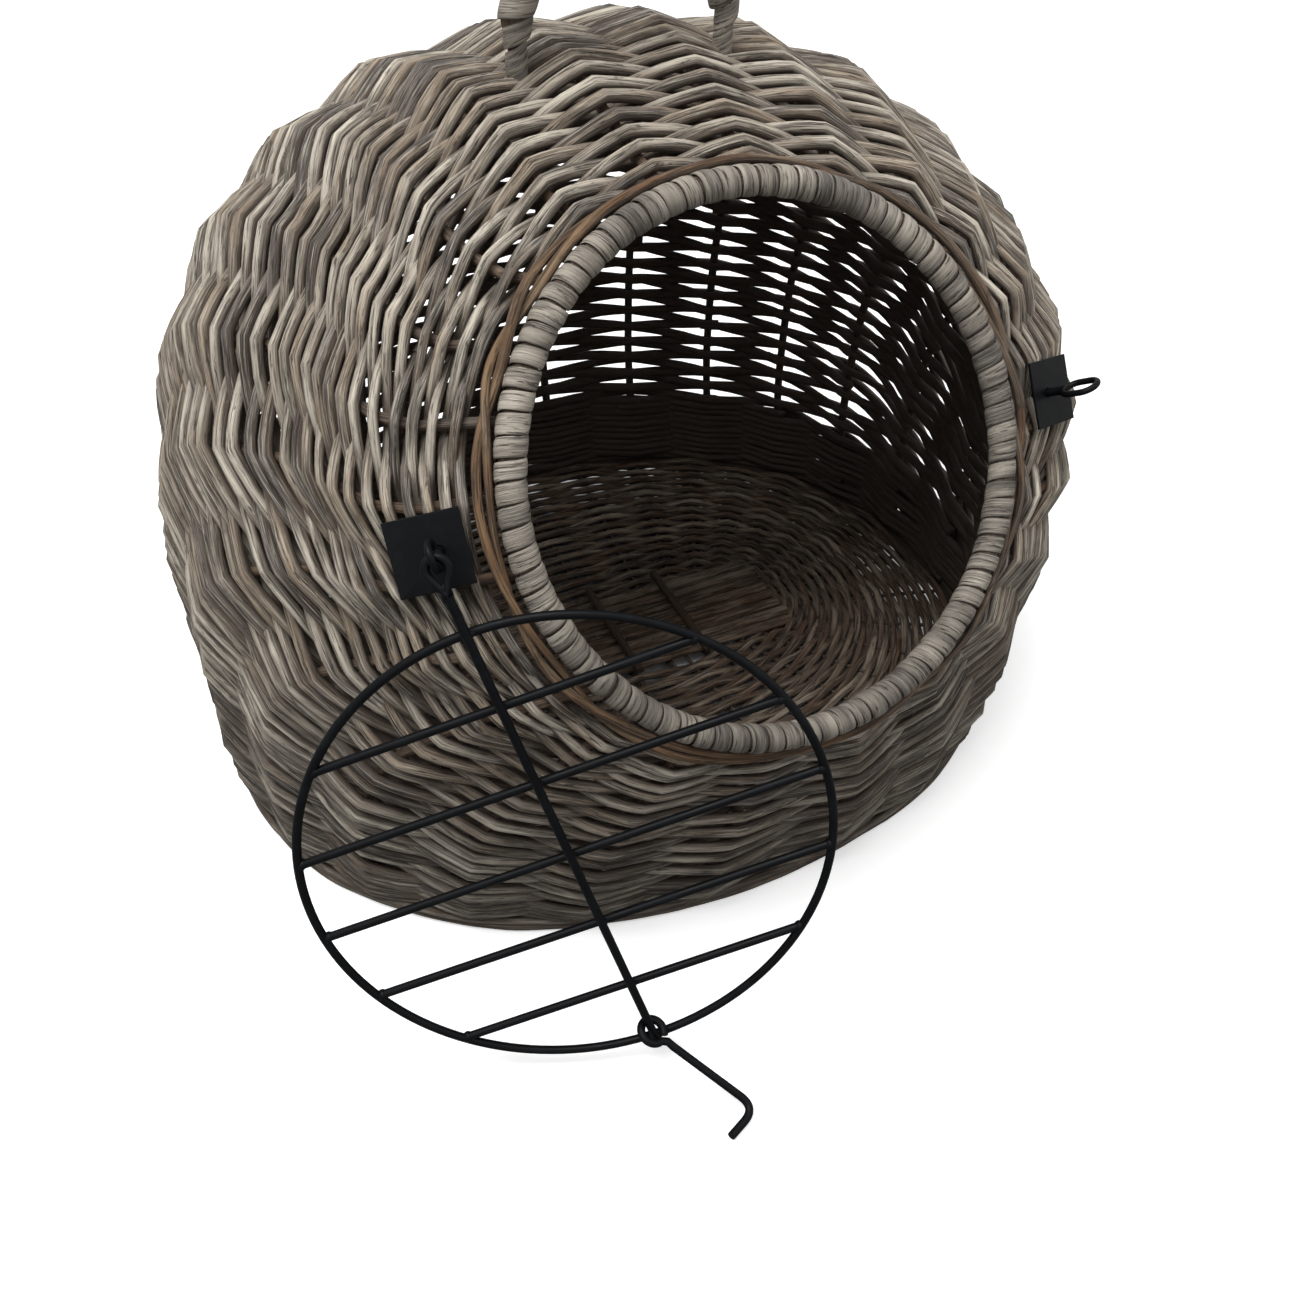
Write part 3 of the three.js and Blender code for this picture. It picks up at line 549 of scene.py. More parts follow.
def path_mesh(name, lines):
    """The paths as one mesh of edges."""
    edges, start = [], 0
    for one in lines:
        n = len(one["points"])
        edges += [(start + i, start + i + 1) for i in range(n - 1)]
        if one["closed"]:
            edges.append((start + n - 1, start))
        start += n
    mesh = bpy.data.meshes.new(name)
    mesh.from_pydata(np.vstack([one["points"] for one in lines]).tolist(), edges, [])
    for key in ("outward", "across"):
        data = mesh.attributes.new(key, "FLOAT_VECTOR", "POINT").data
        data.foreach_set("vector", np.vstack([one[key] for one in lines]).ravel().astype(np.float32))
    for key in POINT_VALUES:
        data = mesh.attributes.new(key, "FLOAT", "POINT").data
        data.foreach_set("value", np.concatenate([one[key] for one in lines]).astype(np.float32))
    return mesh


def rods(name, lines, material, **inputs):
    """A mesh object of rods along the paths. The other values are inputs of the node tree."""
    tree = rod_tree()
    piece = bpy.data.objects.new(name, path_mesh(name, lines))
    bpy.context.scene.collection.objects.link(piece)
    modifier = piece.modifiers.new("Rods", "NODES")
    modifier.node_group = tree
    keys = {
        item.name.lower().replace(" ", "_"): item.identifier for item in tree.interface.items_tree
        if item.item_type == "SOCKET" and item.in_out == "INPUT"
    }
    for key, value in {"material": material, **inputs}.items():
        modifier[keys[key]] = value
    bpy.context.view_layer.update()
    evaluated = piece.evaluated_get(bpy.context.evaluated_depsgraph_get())
    mesh = bpy.data.meshes.new_from_object(evaluated)
    piece.modifiers.remove(modifier)
    old, piece.data = piece.data, mesh
    bpy.data.meshes.remove(old)
    mesh.name = name
    for key in ("outward", "across", *POINT_VALUES):
        if key != "tone" and key in mesh.attributes:
            mesh.attributes.remove(mesh.attributes[key])
    if not mesh.polygons:
        raise RuntimeError(name + " came out empty")
    return piece


def seat(piece, body, slot, *nodes):
    """The piece rides on a body and stands for CAD nodes. The slot is not used."""
    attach(piece, body)
    if nodes:
        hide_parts(*nodes)
    return piece


# Materials

def plain_material(name):
    made = bpy.data.materials.new(name)
    made.use_nodes = True
    made.node_tree.nodes.clear()
    return made, made.node_tree


def finish_surface(tree, base, roughness, level, strength, depth, relief):
    """Ends a material's tree in one shader, with its relief as a bump."""
    bump = result(tree, "ShaderNodeBump", {"Strength": strength, "Distance": depth, "Height": relief})
    shader = result(tree, "ShaderNodeBsdfPrincipled", {
        "Base Color": base, "Roughness": roughness, "IOR": 1.5, "Specular IOR Level": level,
        "Normal": bump,
    })
    tree.links.new(shader, node(tree, "ShaderNodeOutputMaterial").inputs[0])


def willow(use):
    """Willow rods, boiled, stripped, glazed dark and left to weather: dull, with fibres along the rod,
    bleached on their ridges and nearly black in their cracks. Fibres are 0.5 to 2.2 mm wide and
    22 to 50 mm long."""
    name, tones, rough, fibre, foot_darkening = WILLOWS[use]
    if name in bpy.data.materials:
        return bpy.data.materials[name]
    colours = sizes("colours")
    tones = [linear(code) if code[0] == "#" else list(getattr(colours, code)) for code in tones]
    shade, groove = list(colours.shade), list(colours.groove)
    material, tree = plain_material(name)
    add, span, mix, maths = (partial(kind, tree) for kind in (result, ranged, mixed, reckoned))
    grain, tone, inner = (
        add("ShaderNodeAttribute", output=kind, attribute_name=key)
        for kind, key in (("Vector", "grain"), ("Fac", "tone"), ("Fac", "inner"))
    )

    def noise(across, along, detail, fine=0.55, distortion=0.0):
        scale = (1 / (across * MM), 1 / (across * MM), 1 / (along * MM))
        values = {
            "Vector": add("ShaderNodeMapping", {"Vector": grain, "Scale": scale}), "Scale": 1.0,
            "Detail": detail, "Roughness": fine, "Distortion": distortion,
        }
        return add("ShaderNodeTexNoise", values, "Fac")

    ridges = noise(2.2, 50, 2.5, 0.6)
    fibres = noise(0.55, 22, 4, 0.65, 0.3)
    patches = noise(9, 45, 3)
    weathered = noise(7, 28, 5, 0.6, 0.5)
    cracks = noise(1.3, 18, 4, 0.7, 0.8)
    tone = maths("ADD", span(patches, 0.3, 0.7, -0.3, 0.3), tone)
    ramp = node(tree, "ShaderNodeValToRGB", {"Fac": tone})
    elements = ramp.color_ramp.elements
    while len(elements) < len(tones):
        elements.new(0.5)
    for i, value in enumerate(tones):
        elements[i].position = i / (len(tones) - 1)
        elements[i].color = value
    place = add("ShaderNodeTexCoord", output="Object")
    height = add("ShaderNodeSeparateXYZ", {0: place}, "Z")
    # Darker towards the foot, in patches
    darker_at_foot = maths("MULTIPLY", span(height, 0.0, 0.2, foot_darkening, 0.0), span(patches, 0.3, 0.7, 0.6, 1.4))
    coat = mix(span(weathered, 0.5, 0.68, 0, 0.6), ramp.outputs["Color"], groove)
    coat = mix(span(ridges, 0.5, 0.38, 0, fibre), coat, groove)
    coat = mix(span(fibres, 0.52, 0.66, 0, fibre), coat, tones[0])
    coat = mix(span(fibres, 0.47, 0.35, 0, fibre), coat, groove)
    coat = mix(darker_at_foot, coat, groove)
    coat = mix(span(cracks, 0.56, 0.63, 0, 0.8), coat, groove)
    # Painted shade: where a rod is marked as shaded it turns towards the inside willow colour, a little
    # streaked
    painted_shade_colour = mix(span(fibres, 0.5, 0.75, 0, 0.35), shade, tones[-1])
    ribs = maths("ADD", span(fibres, 0.2, 0.8), span(ridges, 0.2, 0.8))
    relief = maths("ADD", ribs, span(cracks, 0.56, 0.68, 0, -0.8))
    gloss = span(fibres, 0.3, 0.7, rough + 0.1, rough - 0.1)
    finish_surface(tree, mix(inner, coat, painted_shade_colour), gloss, 0.3, 1.0, 0.5 * MM, relief)
    return material


def painted_steel():
    """Mild steel wire and sheet dipped in black paint: satin, with a faint ripple and a little dust."""
    name = "Black painted steel wire"
    if name in bpy.data.materials:
        return bpy.data.materials[name]
    material, tree = plain_material(name)
    place = result(tree, "ShaderNodeTexCoord", output="Object")
    ripple, dust = (
        result(tree, "ShaderNodeTexNoise", {"Vector": place, "Scale": 1 / (size * MM), **values}, "Fac")
        for size, values in ((2.2, {"Detail": 2.0}), (16, {"Detail": 6.0, "Roughness": 0.75}))
    )
    rub = ranged(tree, dust, 0.5, 0.75, 0.0, 0.35)
    tint = mixed(tree, rub, list(sizes("colours").paint), linear("#1c1f23"))
    gloss = ranged(tree, dust, 0.3, 0.7, 0.35, 0.55)
    finish_surface(tree, tint, gloss, 0.1, 0.35, 0.12 * MM, ripple)
    return material


# Weave

def weave_end(wall, turns):
    """The fan at which the weave ends beside the brown rods round the hoop."""
    binding = sizes("binding")
    outside = wall.s.stake_radius + EDGE_GAP * MM + binding.edge_rod_radius
    return wall.fan_at(turns, binding.hoop_radius + 4.2 * binding.edge_rod_radius, outside)


def spread_order(items):
    """The items in an order that drops them evenly over their whole range."""
    def reversed_bits(i):
        value, half = 0.0, 0.5
        while i:
            value, i, half = value + half * (i & 1), i >> 1, half / 2
        return value
    return [items[i] for i in sorted(range(len(items)), key=reversed_bits)]


class Rows:
    """Where each row of the weave runs. Short rows end where the rows would lie too close."""

    def __init__(self, wall):
        self.weave = w = sizes("weave")
        self.rng = np.random.default_rng(w.seed)
        self.stakes = stakes = wall.s.stakes
        self.bays = np.arange(0, stakes + 1e-6, 0.1)
        turns = wall.bay_turn(self.bays)
        # 1 over the back, 0 over the flanks and the front. The left flank begins sooner than the right
        self.back = np.clip(np.sin(turns) * 2.6 - 1.1 + np.minimum(np.cos(turns), 0) * 0.8, 0, 1)
        self.steps = np.linspace(0, 1, 61)
        fans = weave_end(wall, turns) * self.steps[:, None]
        points = wall.point(np.broadcast_to(turns, fans.shape), fans)
        rise = np.linalg.norm(np.diff(points, axis=0), axis=-1)
        run = np.vstack([np.zeros(len(turns)), np.cumsum(rise, 0)])
        self.lengths = run[-1]
        self.fans = np.stack(
            [np.interp(self.steps * run[-1, k], run[:, k], fans[:, k]) for k in range(len(turns))], 1
        )
        pitches = np.interp(np.degrees(turns), *np.array(ROW_PITCHES).T, period=360)
        self.room = self.lengths / pitches / MM
        self.count = round(self.room.max()) + 1
        self.spans = self.short_rows(stakes / 4 - 0.5)
        weights = np.ones((self.count, len(self.bays)))
        for j, spans in self.spans.items():
            # A short row comes and goes over 1.6 bays
            present = np.zeros(len(self.bays))
            for start, stop in spans:
                for shift in (-stakes, 0, stakes):
                    inside = np.minimum(self.bays + shift - start, stop - self.bays - shift) / 1.6
                    present = np.maximum(present, eased(inside + 0.5))
            weights[j] = present
        self.number = weights.sum(0)
        self.ranks = (np.cumsum(weights, 0) - weights / 2) / self.number

    def short_rows(self, back):
        """The stretches of each short row. Those over the flanks alone have two."""
        n, full_rows = self.count, self.weave.full_rows
        full = {round((k + 0.5) * n / full_rows - 0.5) for k in range(full_rows)}
        away = np.arange(0, self.stakes / 2 - 0.6, 0.1)
        there = [self.at(self.room, back + side * away) for side in (-1, 1)]
        rows = {}
        for dropped, j in enumerate(spread_order([j for j in range(n) if j not in full])):
            ends = []
            for side, room in zip((-1, 1), there):
                fits = away[room >= n - 0.5 - dropped]
                if len(fits):
                    near, far = fits[[0, -1]] + self.rng.uniform(-0.8, 0.8, 2)
                    ends.append((side * (near if fits[0] else 0), side * far))
            if len(ends) == 2 and ends[0][0] == 0 == ends[1][0]:
                ends = [(ends[0][1], ends[1][1])]
            spans = [(back + min(pair), back + max(pair)) for pair in ends]
            rows[j] = [(start, stop) for start, stop in spans if stop - start > 3]
        return rows

    def at(self, table, bay):
        """A value that changes round the wall."""
        return np.interp(np.mod(bay, self.stakes), self.bays, table)

    def height_share(self, rank, bay):
        """Share of the wall's height, by the row's rank among the rows there."""
        back, flank = (np.interp(rank, *np.array(table).T) for table in (BACK_ROWS, FLANK_ROWS))
        return flank + (back - flank) * self.at(self.back, bay)

    def fan(self, height, bay):
        """The fan at a share of the wall's height."""
        k = height * (len(self.steps) - 1)
        i = np.mod(bay, self.stakes) / self.stakes * (len(self.bays) - 1)
        k0 = np.clip(k.astype(int), 0, len(self.steps) - 2)
        i0 = np.clip(i.astype(int), 0, len(self.bays) - 2)
        u, v = k - k0, i - i0
        low = self.fans[k0, i0] * (1 - v) + self.fans[k0, i0 + 1] * v
        high = self.fans[k0 + 1, i0] * (1 - v) + self.fans[k0 + 1, i0 + 1] * v
        return low * (1 - u) + high * u

    def place(self, j, bay, stray=0.0):
        """Fan and pitch of a row. Stray shifts it by a share of its pitch."""
        number, loose = self.at(self.number, bay), 1 - 0.8 * self.at(self.back, bay)
        rank = self.at(self.ranks[j], bay) + stray * loose / number
        turn = 2 * math.pi * np.asarray(bay) / self.stakes
        # Neighbouring rows stray together in two waves round the wall, and hardly at the back
        drift = loose * (np.sin(4 * turn + 7 * rank) + 0.6 * np.sin(9 * turn - 12 * rank + 1))
        drift = drift * self.weave.drift / self.at(self.lengths, bay)
        rank = rank + drift * np.sin(math.pi * np.clip(rank, 0, 1))
        half = 0.5 / number
        height = self.height_share(rank, bay)
        spread = self.height_share(rank + half, bay) - self.height_share(rank - half, bay)
        return self.fan(np.clip(height, 0, 1), bay), spread * self.at(self.lengths, bay)

    def rods_of(self, j):
        """The stretches of rod in a row, for its two strands, each with its ends inside a stake."""
        for strand in (0, 1):
            around = self.rng.uniform(0, self.stakes)
            for start, stop in self.spans.get(j, [(around, around + self.stakes)]):
                first = strand + 1
                place, last = (2 * round((end - first) / 2) + first for end in (start, stop))
                while place < last:
                    step = 2 * round(self.rng.uniform(0.65, 1.35) * self.weave.rod_bays / 2)
                    after = min(place + max(step, 4), last)
                    if last - after < 4:
                        after = last
                    yield strand, place, after, after < last
                    place = after


class WeaveWall(bpy.types.Operator):
    """Weaves the wall: every rod passes in front of one stake and behind the next"""

    bl_idname = "carrier.weave_wall"
    bl_label = "Wall weave"

    def execute(self, context):
        wall, w = Wall(), sizes("weave")
        rows = Rows(wall)
        courses = [[] for _ in COURSE_SHARES[1:]]
        for j in range(rows.count):
            for strand, start, stop, goes_on in rows.rods_of(j):
                bay = np.array([b + f for b in range(start, stop) for f in BAY_POINTS])
                tail = TAILS[1] if goes_on else TAILS[2]
                bay = np.concatenate([[start - TAILS[0]], bay[1:], [stop, stop + tail]])
                turn = wall.bay_turn(bay)
                fan, pitch = rows.place(j, bay, rows.rng.uniform(-0.13, 0.13))
                thin_end = rows.rng.choice([-1, 1])
                end = rows.fan(np.ones(len(bay)), bay)
                # 0 up to 83 % of the wall's height, 1 from 95 %
                beside_mouth = np.clip(fan / end * 8 - 6.6, 0, 1)
                thin = w.flank_thinning + w.mouth_thinning * beside_mouth
                thin = thin * (1 - rows.at(rows.back, bay))
                radius = (w.thin_rod + w.rod_growth * pitch) * (1 - thin) * rows.rng.uniform(0.88, 1.12)
                radius = radius * (1 + 0.1 * thin_end * np.linspace(-1, 1, len(bay)))
                outward, across = wall.outward(turn, fan), wall.across(turn, fan)
                path = line(
                    wall.point(turn, fan), outward=outward, across=across, bay=bay, thick=radius,
                    side=(-1) ** strand * rows.rng.uniform(0.85, 1.15), lift=pitch / 4,
                    tone=rows.rng.beta(0.9, 1.3), seed=rows.rng.random(),
                    # Each rod also takes a random small share of painted shade
                    gloom=rows.rng.uniform(-0.06, 0.18),
                )
                courses[np.searchsorted(COURSE_SHARES, np.mean(fan / end)) - 1].append(path)
        for i, lines in enumerate(courses):
            name = f"weave_course_{i + 1:02d}"
            piece = rods(
                "woven_" + name, lines, willow("weavers"), clearance=w.stake_gap, kink=w.kink,
                wander=w.wander, wander_length=0.035, unevenness=0.5, sides=10,
                inside_shade=w.inside_shade, seed=w.seed,
            )
            seat(piece, "basket", "grey_willow", name)
        return {"FINISHED"}


class SetStakes(bpy.types.Operator):
    """Sets the brown stakes that the weave passes"""

    bl_idname = "carrier.set_stakes"
    bl_label = "Stakes"

    def execute(self, context):
        wall, binding = Wall(), sizes("binding")
        rng = np.random.default_rng(sizes("weave").seed + 1)
        for i in range(wall.s.stakes):
            turn = float(wall.bay_turn(i))
            near = binding.hoop_radius + 0.6 * MM
            end = wall.fan_at(np.array([turn]), near, wall.s.stake_radius)[0]
            fans = np.linspace(0, end, 44)
            turns = np.full(len(fans), turn)
            radius = wall.s.stake_radius * np.linspace(1, 0.84, len(fans)) * rng.uniform(0.94, 1.0)
            knots = 1 + 0.1 * np.exp(-((np.arange(len(fans)) - rng.uniform(6, 38)) / 1.1) ** 2)
            # Stakes take a fixed share of painted shade, and more on their inward sides
            path = line(
                wall.point(turns, fans), outward=wall.outward(turns, fans), thick=radius * knots,
                gloom=0.28, tone=rng.uniform(0.1, 0.8), seed=rng.random(),
            )
            piece = rods(
                f"willow_stake_{i + 1:02d}", [path], willow("bark"), wander=0.35 * MM, unevenness=0.1,
                sides=10, inside_shade=0.5, seed=i,
            )
            seat(piece, "basket", "dark_willow", f"stake_{i + 1:02d}")
        return {"FINISHED"}


# Hoop, edge rods and handle

def helix(points, outward, step, radius, sway=0.0, fine=24):
    """A strip's path wound round a middle line, with the directions out of that line and the number
    of each turn. With sway the strip lies squarer to the line on the side that outward points to."""
    lengths = np.concatenate([[0], np.cumsum(np.linalg.norm(np.diff(points, axis=0), axis=1))])
    turns = lengths[-1] / step
    number = np.linspace(0, turns, int(turns * fine) + 1)
    around = 2 * math.pi * number
    place = np.clip((number - sway * np.sin(around) / (2 * math.pi)) * step, 0, lengths[-1])
    centre = np.stack([np.interp(place, lengths, points[:, k]) for k in range(3)], 1)
    up = np.stack([np.interp(place, lengths, outward[:, k]) for k in range(3)], 1)
    ahead = np.gradient(points, axis=0)
    ahead = unit(np.stack([np.interp(place, lengths, ahead[:, k]) for k in range(3)], 1))
    up = unit(up - (up * ahead).sum(1, keepdims=True) * ahead)
    beside = np.cross(ahead, up)
    out = up * np.cos(around)[:, None] + beside * np.sin(around)[:, None]
    size = np.interp(place, lengths, np.broadcast_to(radius, lengths.shape))
    return centre + out * size[:, None], out, number


def bound_line(points, outward, pitch, radius, rng):
    """Split willow wound round a path, each turn a little different."""
    b = sizes("binding")
    half = b.strip_thickness / 2
    path, out, number = helix(points, outward, pitch, radius - half, b.wrap_sway)
    wraps = np.arange(int(number[-1]) + 2)
    width = np.interp(number, wraps, rng.uniform(0.86, 1.1, len(wraps)))
    raised = np.interp(number, wraps, rng.uniform(-0.4, 0.4, len(wraps))) * MM
    tones = rng.beta(0.8, 0.8, len(wraps))
    tone = np.interp(number, wraps, (tones + np.roll(tones, 1) + np.roll(tones, 2)) / 3)
    return line(path + out * raised[:, None], outward=out, thick=half * width, tone=tone, seed=0.3)


def bind(name, node_name, strip, core, pitch):
    """Seats a bound rod: the strip, which stands for the CAD node, and the core inside it."""
    b = sizes("binding")
    flat = pitch / b.strip_thickness * b.wrap_fill
    piece = rods("bound_" + name, [strip], willow("strips"), flatness=flat, sides=14, unevenness=0.12)
    seat(piece, "basket", "split_willow", node_name)
    seat(rods(name + "_core", [core], willow("bark"), sides=10), "basket", "dark_willow")


class BindHoop(bpy.types.Operator):
    """Binds the mouth's hoop with split willow"""

    bl_idname = "carrier.bind_hoop"
    bl_label = "Bound hoop"

    def execute(self, context):
        wall, b = Wall(), sizes("binding")
        rng = np.random.default_rng(SEEDS["hoop"])
        turn = np.linspace(0, 2 * math.pi, 361)
        radial = np.cos(turn)[:, None] * np.array([1, 0, 0]) + np.sin(turn)[:, None] * wall.mouth_up
        points = wall.mouth + wall.s.mouth_radius * radial
        pitch = 2 * math.pi * wall.s.mouth_radius / b.hoop_wraps
        front = unit(radial * 0.35 + wall.mouth_out)
        strip = bound_line(points, front, pitch, b.hoop_radius, rng)
        # The core, seen in the gaps between the wraps, is darkened with painted shade
        core = line(
            points[:-1], closed=True, outward=radial[:-1], thick=b.hoop_radius - b.strip_thickness,
            gloom=0.85, tone=0.8,
        )
        bind("hoop", "rim_hoop", strip, core, pitch)
        return {"FINISHED"}


class LayEdgeRods(bpy.types.Operator):
    """Lays the brown rods beside the hoop"""

    bl_idname = "carrier.lay_edge_rods"
    bl_label = "Brown rods"

    def execute(self, context):
        wall, b = Wall(), sizes("binding")
        r = b.edge_rod_radius
        turn = np.linspace(0, 2 * math.pi, 289)[:-1]
        # Their turns round each other are uneven
        twist = b.edge_twists * turn + 1.1 * np.sin(2 * turn + 0.7) + 0.6 * np.sin(5 * turn)
        # They are palest on the left of the mouth
        left = np.clip(0.5 - 0.7 * np.cos(turn), 0, 1)
        for n, name in enumerate(("inner", "outer")):
            phase = twist + math.pi * n
            outside = wall.s.stake_radius + EDGE_GAP * MM + r + r * (1 - np.sin(phase)) * 0.9
            distance = b.hoop_radius + 0.2 * MM + 2 * r - r * np.cos(phase)
            fan = wall.fan_at(turn, distance, outside)
            # The brown rods take a little painted shade, and more on their inward sides
            path = line(
                wall.point(turn, fan, outside), closed=True, outward=wall.outward(turn, fan),
                thick=r * (0.86 + 0.14 * np.sin(3 * turn + 2 * n)), tone=0.9 - 0.6 * left,
                seed=0.2 + 0.3 * n, gloom=0.1,
            )
            piece = rods(
                f"brown_rod_{name}", [path], willow("edge"), wander=1 * MM, wander_length=0.04,
                unevenness=0.35, sides=10, inside_shade=0.8, seed=n + 4,
            )
            seat(piece, "basket", "brown_willow", f"rim_edge_rod_{name}")
        return {"FINISHED"}


class BendHandle(bpy.types.Operator):
    """Bends the handle over the crown and binds it"""

    bl_idname = "carrier.bend_handle"
    bl_label = "Handle"

    def execute(self, context):
        b = sizes("binding")
        low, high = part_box("handle_bow")
        y = (low.y + high.y) / 2
        half = (high.x - low.x) / 2 - b.handle_radius
        top = high.z - b.handle_radius
        foot = top - b.handle_rise
        straight = foot + 8.6 * MM
        # Up one leg and over its shoulder to the top, and then the same way down
        route = [
            (-half, low.z), (-half, foot), (-half, straight), (-half + 1 * MM, foot + 28 * MM),
            (-half + 14.4 * MM, top - 10 * MM), (0, top),
        ]
        route += [(-x, z) for x, z in route[-2::-1]]
        table = smooth_table(route, 400)
        moves = np.linalg.norm(np.diff(table, axis=0), axis=1) > 1e-7
        table = table[np.concatenate([[True], moves])]
        points = np.stack([table[:, 0], np.full(len(table), y), table[:, 1]], 1)
        # The legs swell into the bow between 6 and 18 mm over their straight part
        swelling = eased(((points[:, 2] - straight) / MM - 6) / 12)
        radius = b.handle_leg_radius + (b.handle_radius - b.handle_leg_radius) * swelling
        outward = np.broadcast_to([0.0, 1.0, 0.0], points.shape)
        rng = np.random.default_rng(SEEDS["handle"])
        strip = bound_line(points, outward, b.handle_wrap, radius, rng)
        # The core, seen in the gaps between the wraps, is darkened with painted shade
        core = line(points, outward=outward, thick=radius - b.strip_thickness, gloom=0.7, tone=0.7)
        bind("handle", "handle_bow", strip, core, b.handle_wrap)
        return {"FINISHED"}


# Foot and floor

class WaleFoot(bpy.types.Operator):
    """Lays the rods that edge the foot"""

    bl_idname = "carrier.wale_foot"
    bl_label = "Foot"

    def execute(self, context):
        wall = Wall()
        bay = np.linspace(0, wall.s.stakes, wall.s.stakes * 10 + 1)[:-1]
        turn = wall.bay_turn(bay)
        fan = np.zeros(len(turn))
        out = wall.outward(turn, fan)
        edge = wall.face(turn, fan)
        rng = np.random.default_rng(SEEDS["foot"])
        lines = []
        for inset, height, radius in FOOT_RODS:
            weave = 0.5 * MM * np.cos(math.pi * bay + rng.uniform(0, 6))
            place = edge - out * (inset * MM + weave)[:, None]
            place[:, 2] = height * MM + 0.4 * MM * np.sin(math.pi * bay + rng.uniform(0, 6))
            # Rods further in from the outer face take more painted shade, and all of them more on their
            # inward sides
            lines.append(line(
                place, closed=True, outward=out, thick=radius * MM, tone=rng.beta(2, 2),
                seed=rng.random(), gloom=0.05 + 0.05 * inset,
            ))
        piece = rods(
            "waled_foot", lines, willow("weavers"), wander=0.7 * MM, wander_length=0.03, unevenness=0.25,
            inside_shade=0.9,
        )
        seat(piece, "basket", "grey_willow", "foot_border")
        return {"FINISHED"}


def floor_rings(wall, turn, part):
    """Points of the floor's weave: part 0 is the oval round the long sticks, part 1 the outer edge."""
    f = sizes("floor")
    level = np.zeros(np.shape(turn))
    edge = wall.face(turn, level) - wall.outward(turn, level) * (wall.s.foot_width - 1 * MM)
    long_way, short_way = signed_power(np.cos(turn), 0.7), signed_power(np.sin(turn), 0.7)
    inner = np.stack([f.oval_length * long_way, f.oval_width * short_way, level], -1)
    points = inner + (edge - inner) * np.asarray(part)[..., None]
    points[..., 2] = f.level
    return points


def stick(x, y, z, **values):
    """A level stick along X or Y."""
    points = np.stack(np.broadcast_arrays(x, y, z), 1)
    return line(points, **values)


class WeaveFloor(bpy.types.Operator):
    """Weaves the floor round its long sticks"""

    bl_idname = "carrier.weave_floor"
    bl_label = "Floor"

    def execute(self, context):
        wall, f = Wall(), sizes("floor")
        rng = np.random.default_rng(SEEDS["floor"])
        lines = []
        bay = np.arange(0, f.sticks + 0.01, 1 / 6)
        turn = 2 * math.pi * bay / f.sticks
        swing, step = 0.9, 0.05
        # Two rods to each row, on opposite sides of the thin sticks
        for j in range(f.rows):
            for side in (swing, -swing):
                part = np.full(len(bay), (j + 0.5) / f.rows)
                place = floor_rings(wall, turn, part)
                beyond = floor_rings(wall, turn, part + step)
                pitch = np.linalg.norm(beyond - place, axis=1) / step / f.rows
                # Each row takes a random small share of painted shade, and more on its sides turned down
                lines.append(line(
                    place, across=unit(beyond - place), bay=bay, side=side, lift=pitch / 4 / swing,
                    thick=f.rod_radius * rng.uniform(0.88, 1.05), tone=rng.beta(1.4, 1.4),
                    seed=rng.random(), gloom=rng.uniform(0.0, 0.2),
                ))
        part = np.linspace(-0.05, 1.0, 12)
        for i in range(f.sticks):
            place = floor_rings(wall, np.full(len(part), 2 * math.pi * i / f.sticks), part)
            # The thin sticks, half hidden under the rows, are darkened with painted shade
            lines.append(line(place, thick=THIN_RADIUS * MM, tone=0.5, gloom=0.6))
        reach_x, reach_y = UNDER_REACH
        y = np.linspace(-reach_y, reach_y, 8) * MM
        for x in np.linspace(-reach_x, reach_x, UNDER_STICKS) * MM:
            # The sticks under the bundle are darkened with painted shade
            lines.append(stick(x, y, UNDER_LEVEL * MM, thick=UNDER_RADIUS * MM, tone=0.4, gloom=0.5))
        piece = rods(
            "woven_floor", lines, willow("floor"), clearance=0.6 * MM, kink=0.6, wander=1.1 * MM,
            wander_length=0.03, unevenness=0.4, sides=8, inside_shade=0.7,
        )
        seat(piece, "basket", "dark_willow", "floor_weave")

        long_sticks = []
        for i in range(f.long_sticks):
            y = ((f.long_sticks - 1) / 2 - i) * f.long_spacing
            x = np.linspace(-LONG_REACH, LONG_REACH, 18) * MM + rng.uniform(-2, 2) * MM
            # The long sticks take a little painted shade
            long_sticks.append(stick(
                x, y, f.long_level, thick=f.long_radius * rng.uniform(0.93, 1.03),
                tone=rng.uniform(0.1, 0.7), gloom=0.15, seed=rng.random(),
            ))
        piece = rods(
            "long_sticks", long_sticks, willow("floor"), wander=0.5 * MM, wander_length=0.08,
            unevenness=0.15, sides=12, flatness=1.5,
        )
        seat(piece, "basket", "grey_willow", "floor_long_sticks")
        for i in range(CROSS_STICKS):
            low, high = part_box(f"floor_cross_stick_{i + 1}")
            centre = (low + high) / 2
            y = np.linspace(low.y, high.y, 12)
            # Half of the cross sticks' darkness is painted shade
            across = stick(centre.x, y, centre.z, thick=f.cross_radius, tone=0.6, gloom=0.5)
            piece = rods(
                f"cross_stick_{i + 1}", [across], willow("bark"), wander=0.5 * MM, unevenness=0.15,
                sides=10,
            )
            seat(piece, "basket", "dark_willow", f"floor_cross_stick_{i + 1}")
        return {"FINISHED"}


# Wire door and fittings

def joint(name):
    found = next(j for j in frame["joints"] if j["name"] == name)
    return np.array(found["pos_m"], float), unit(np.array(found["axis"], float))


def door_axes():
    """The door's centre and its axes: along the crossbars, towards its hinge, and out of its front."""
    pivot, minus_x = joint("door_lift")
    _, minus_y = joint("hook_swing")
    x = -minus_x
    y = unit(-minus_y + np.dot(minus_y, x) * x)
    return pivot - y * sizes("wire").door_reach, x, y, np.cross(x, y)


def in_frame(points, axes):
    origin, x, y, z = axes
    points = np.asarray(points, float)
    return origin + points[:, :1] * x + points[:, 1:2] * y + points[:, 2:] * z


